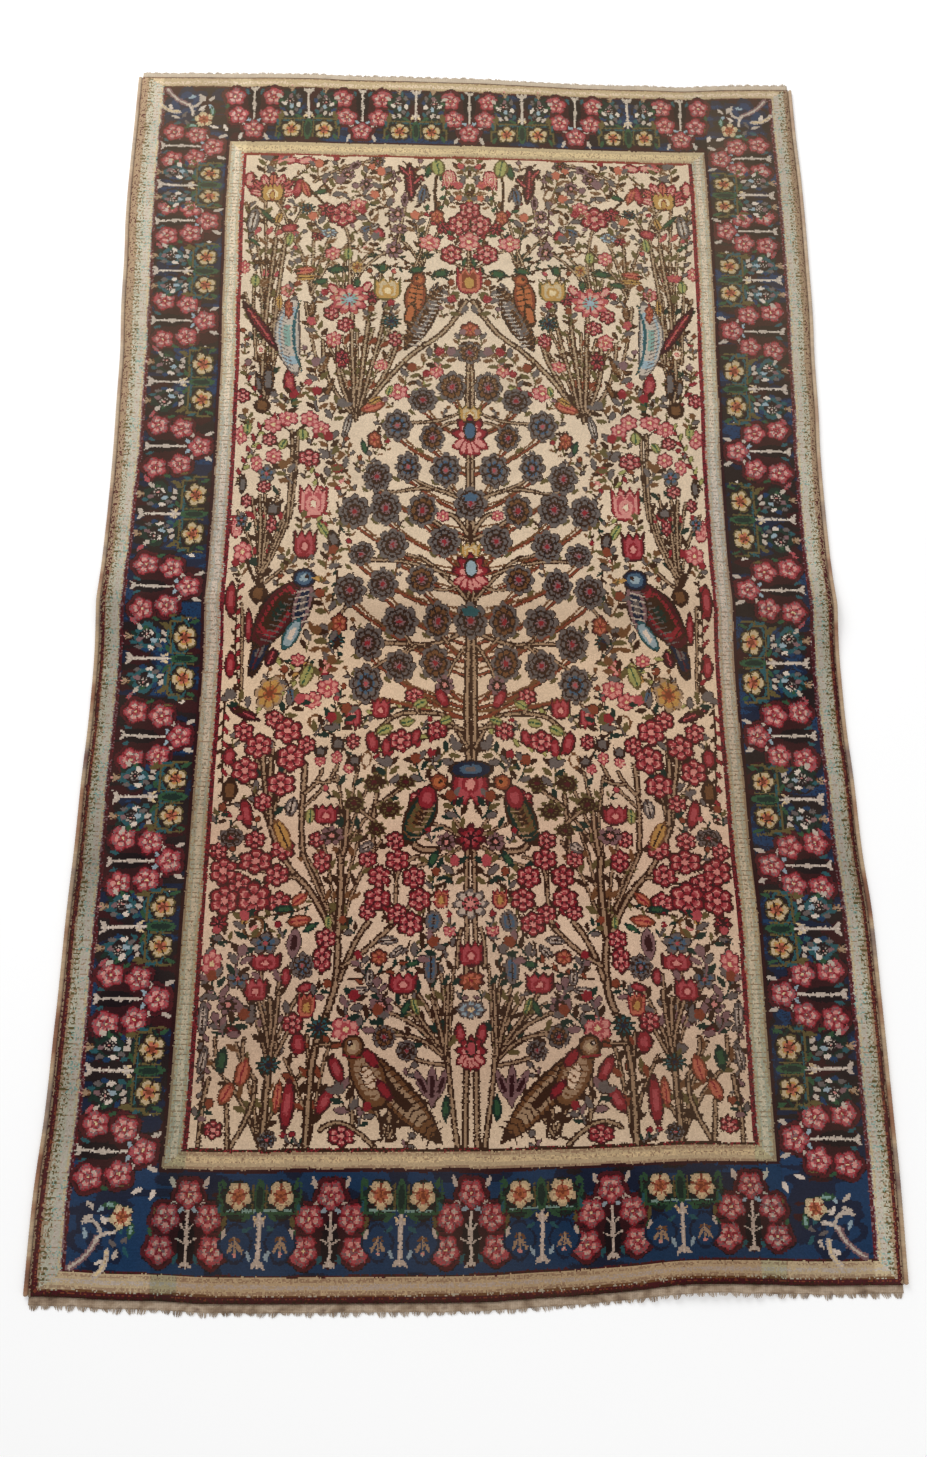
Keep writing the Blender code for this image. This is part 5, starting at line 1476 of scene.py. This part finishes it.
def flatStrip(end, rng):
    # a flat closed strip from the pile to the worn edge: the line it starts from, its places and its faces
    columns, rows = ends["columns"], max(4, int(end["web"] / ends["rowPitch"]))
    u = np.linspace(-1, 1, columns + 1)
    x, y = layOut(u, np.full(u.shape, end["pile"]))
    width = end["web"] + ends["waver"] * smoothNoise(rng, 1, 60, (1, columns + 1))[0]
    outward = np.linspace(0, 1, rows + 1)[:, None]
    gridX = np.broadcast_to(x, (rows + 1, columns + 1))
    gridY = y + end["side"] * (ends["gap"] + outward * width)
    # every other crossing of a weft stands higher
    overUnder = np.outer(np.cos(np.arange(rows + 1) * np.pi), np.cos(np.arange(columns + 1) * np.pi))
    weft = ends["weft"] * overUnder
    rim = np.ones(gridX.shape)
    rim[1:-1, 1:-1] = 0
    ground = raised(gridX, gridY)
    top = ground + ends["thickness"] * (0.92 - 0.35 * rim) + weft
    low = ground + ends["clearance"]
    places = np.concatenate([np.stack([gridX, gridY, level], -1).reshape(-1, 3) for level in (top, low)])
    total = gridX.size
    numbers = np.arange(total).reshape(rows + 1, columns + 1)
    walls = []
    for edge in (numbers[0], numbers[:, -1], numbers[-1, ::-1], numbers[::-1, 0]):
        walls.append(np.stack([edge[:-1] + total, edge[1:] + total, edge[1:], edge[:-1]], -1))
    faces = [gridFaces(rows + 1, columns + 1), gridFaces(rows + 1, columns + 1, total, flip=True), *walls]
    if end["side"] < 0:
        # rows run towards the viewer here, so every face turns over
        faces = [part[:, ::-1] for part in faces]
    return x, y, places, faces


def wornWarps(end, rng, x, y, start):
    # lobe by lobe, a fan of strands out from the strip's edge: each a four-sided taper rooted in the weave
    lobes, strands = ends["lobes"], ends["strands"]
    pitch = (x[-1] - x[0]) / lobes
    lobe = np.repeat(np.arange(lobes), strands)
    place = (np.tile(np.arange(strands), lobes) + rng.uniform(0.2, 0.8, lobes * strands)) / strands - 0.5
    length = np.repeat(rng.uniform(end["shortest"], end["longest"], lobes), strands)
    length = length * (1 - 0.5 * np.abs(place)) * rng.uniform(0.7, 1.05, len(lobe))
    rootX = x[0] + pitch * (lobe + 0.5 + ends["lobeShare"] * place)
    lean = pitch * (-0.25 * place + np.repeat(rng.uniform(-0.12, 0.12, lobes), strands)
                    + rng.uniform(-0.06, 0.06, len(lobe)))
    rings, sides = ends["strandRings"], ends["strandSides"]
    t = np.linspace(0, 1, rings)
    lineX = rootX[:, None] + lean[:, None] * t ** 1.4
    edgeY = np.interp(rootX, x, y) + end["side"] * (ends["gap"] + end["web"] - ends["rooted"])
    lineY = edgeY[:, None] + end["side"] * (length + ends["rooted"])[:, None] * t
    radius = rng.uniform(*ends["strandRadius"], len(lobe))[:, None] * (1 - 0.55 * t ** 2)
    lineZ = raised(lineX, lineY) + radius + 0.0001 + 0.0007 * (1 - t) ** 2
    angle = 2 * np.pi * np.arange(sides) / sides + np.pi / 4
    tube = np.stack(np.broadcast_arrays(
        lineX[..., None] + radius[..., None] * np.cos(angle), lineY[..., None],
        lineZ[..., None] + radius[..., None] * np.sin(angle)), -1)
    first = start + rings * sides * np.arange(len(lobe))[:, None, None]
    caps = np.stack([np.arange(sides)[::-1], (rings - 1) * sides + np.arange(sides)])
    quads = np.concatenate([(part[None] + first).reshape(-1, 4)
                            for part in (gridFaces(rings, sides, wrap=True), caps)])
    if end["side"] > 0:
        quads = quads[:, ::-1]
    return tube.reshape(-1, 3), quads


def wovenEnd(end):
    # the strip and its warps, joined to one piece
    rng = np.random.default_rng(end["seed"])
    x, y, strip, faces = flatStrip(end, rng)
    warps, quads = wornWarps(end, rng, x, y, len(strip))
    places = np.concatenate([strip, warps])
    return meshFrom(end["node"] + "Weave", places, [*faces, quads], places[:, :2])


def endFinish():
    # undyed cotton with brown and grey wear, crossed by fine wefts, with painted shade between the threads
    finish = Finish("flatWeave", Roughness=0.93)
    place = finish.place()
    x, y, _ = finish.parts(place)
    worn = finish.noise(finish.vector(x * 40, y * 60), 1.0, 4.0)
    colour = finish.ramp(worn, [(0.25, linear((104, 80, 62))), (0.42, linear((158, 134, 110))),
                                (0.56, linear((190, 168, 144))), (0.72, linear((126, 102, 84)))])
    weft = (y * (2 * np.pi / ends["weftPitch"])).wave() * 0.5 + 0.5
    warp = (x * (2 * np.pi / ends["warpPitch"])).wave() * 0.5 + 0.5
    cloth = weft * 0.6 + warp * 0.4
    colour = finish.mix(y.rise(0.6, 1.0) * 0.7, colour, linear((214, 198, 174)))
    # painted shade and light: lighter on the wefts and warps, darker between them
    light = 0.72 + 0.30 * cloth + 0.12 * finish.noise(place, 900.0, 2.0)
    colour = finish.shaded(colour, light)
    normal = finish.bump(cloth + finish.noise(place, 1100.0, 2.0), 0.0008, 0.7)
    return finish.into(Base_Color=colour, Normal=normal)


rug = knottedPile(knots)
rug.data.materials.append(pileFinish(chartSize))
rug.data.materials.append(backFinish(chartSize))
print("pile made", len(rug.data.polygons), "faces")
yarns = [sideCord(name, side) for name, side in zip(cords["names"], (-1, 1))]
for yarn, seed in zip(yarns, (1, 2)):
    yarn.data.materials.append(cordFinish(seed))
print("side cords made", len(yarns[0].data.polygons), "faces each")
weaves = [wovenEnd(ends[which]) for which in ("near", "far")]
cotton = endFinish()
for weave in weaves:
    weave.data.materials.append(cotton)
print("ends made", len(weaves[0].data.polygons), "faces each")

for piece, node, slot in ((rug, "rug_body", "knotted_pile"),
                          (yarns[0], "selvedge_left", "overcast_yarn"),
                          (yarns[1], "selvedge_right", "overcast_yarn"),
                          (weaves[0], "fringed_end_near", "flat_weave"),
                          (weaves[1], "fringed_end_far", "flat_weave")):
    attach(piece, "root")
    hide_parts(node)

# Pale floor and soft studio light.
studio = dict(
    floor=0.96, glow=0.10, sky=0.56, reach=12.0, low=-0.0003,
    # name, place, size, power
    lamps=(("key", (-1.7, 3.0, 2.6), 2.4, 112), ("fill", (1.8, -2.0, 3.0), 3.6, 28)),
)


def setStudio():
    mesh = bpy.data.meshes.new("floor")
    reach = studio["reach"]
    corners = [(x * reach, y * reach, studio["low"]) for x, y in ((-1, -1), (1, -1), (1, 1), (-1, 1))]
    mesh.from_pydata(corners, [], [(0, 1, 2, 3)])
    floor = bpy.data.objects.new("floor", mesh)
    scene.collection.objects.link(floor)
    paper = Finish("palePaper", Roughness=0.9)
    paper.shader.inputs["Base Color"].default_value = (studio["floor"],) * 3 + (1,)
    paper.shader.inputs["Emission Color"].default_value = (1, 1, 1, 1)
    paper.shader.inputs["Emission Strength"].default_value = studio["glow"]
    mesh.materials.append(paper.material)
    for name, place, size, power in studio["lamps"]:
        lamp = bpy.data.lights.new(name, "AREA")
        lamp.size = size
        lamp.energy = power
        holder = bpy.data.objects.new(name, lamp)
        holder.location = place
        direction = -np.array(place)
        holder.rotation_euler = (np.arctan2(np.hypot(*direction[:2]), -direction[2]), 0,
                                 np.arctan2(direction[1], direction[0]) - np.pi / 2)
        scene.collection.objects.link(holder)
    world = bpy.data.worlds.new("room")
    world.use_nodes = True
    world.node_tree.nodes["Background"].inputs[0].default_value = (1, 1, 1, 1)
    world.node_tree.nodes["Background"].inputs[1].default_value = studio["sky"]
    scene.world = world
    scene.view_settings.view_transform = "Standard"


setStudio()
print("studio set")
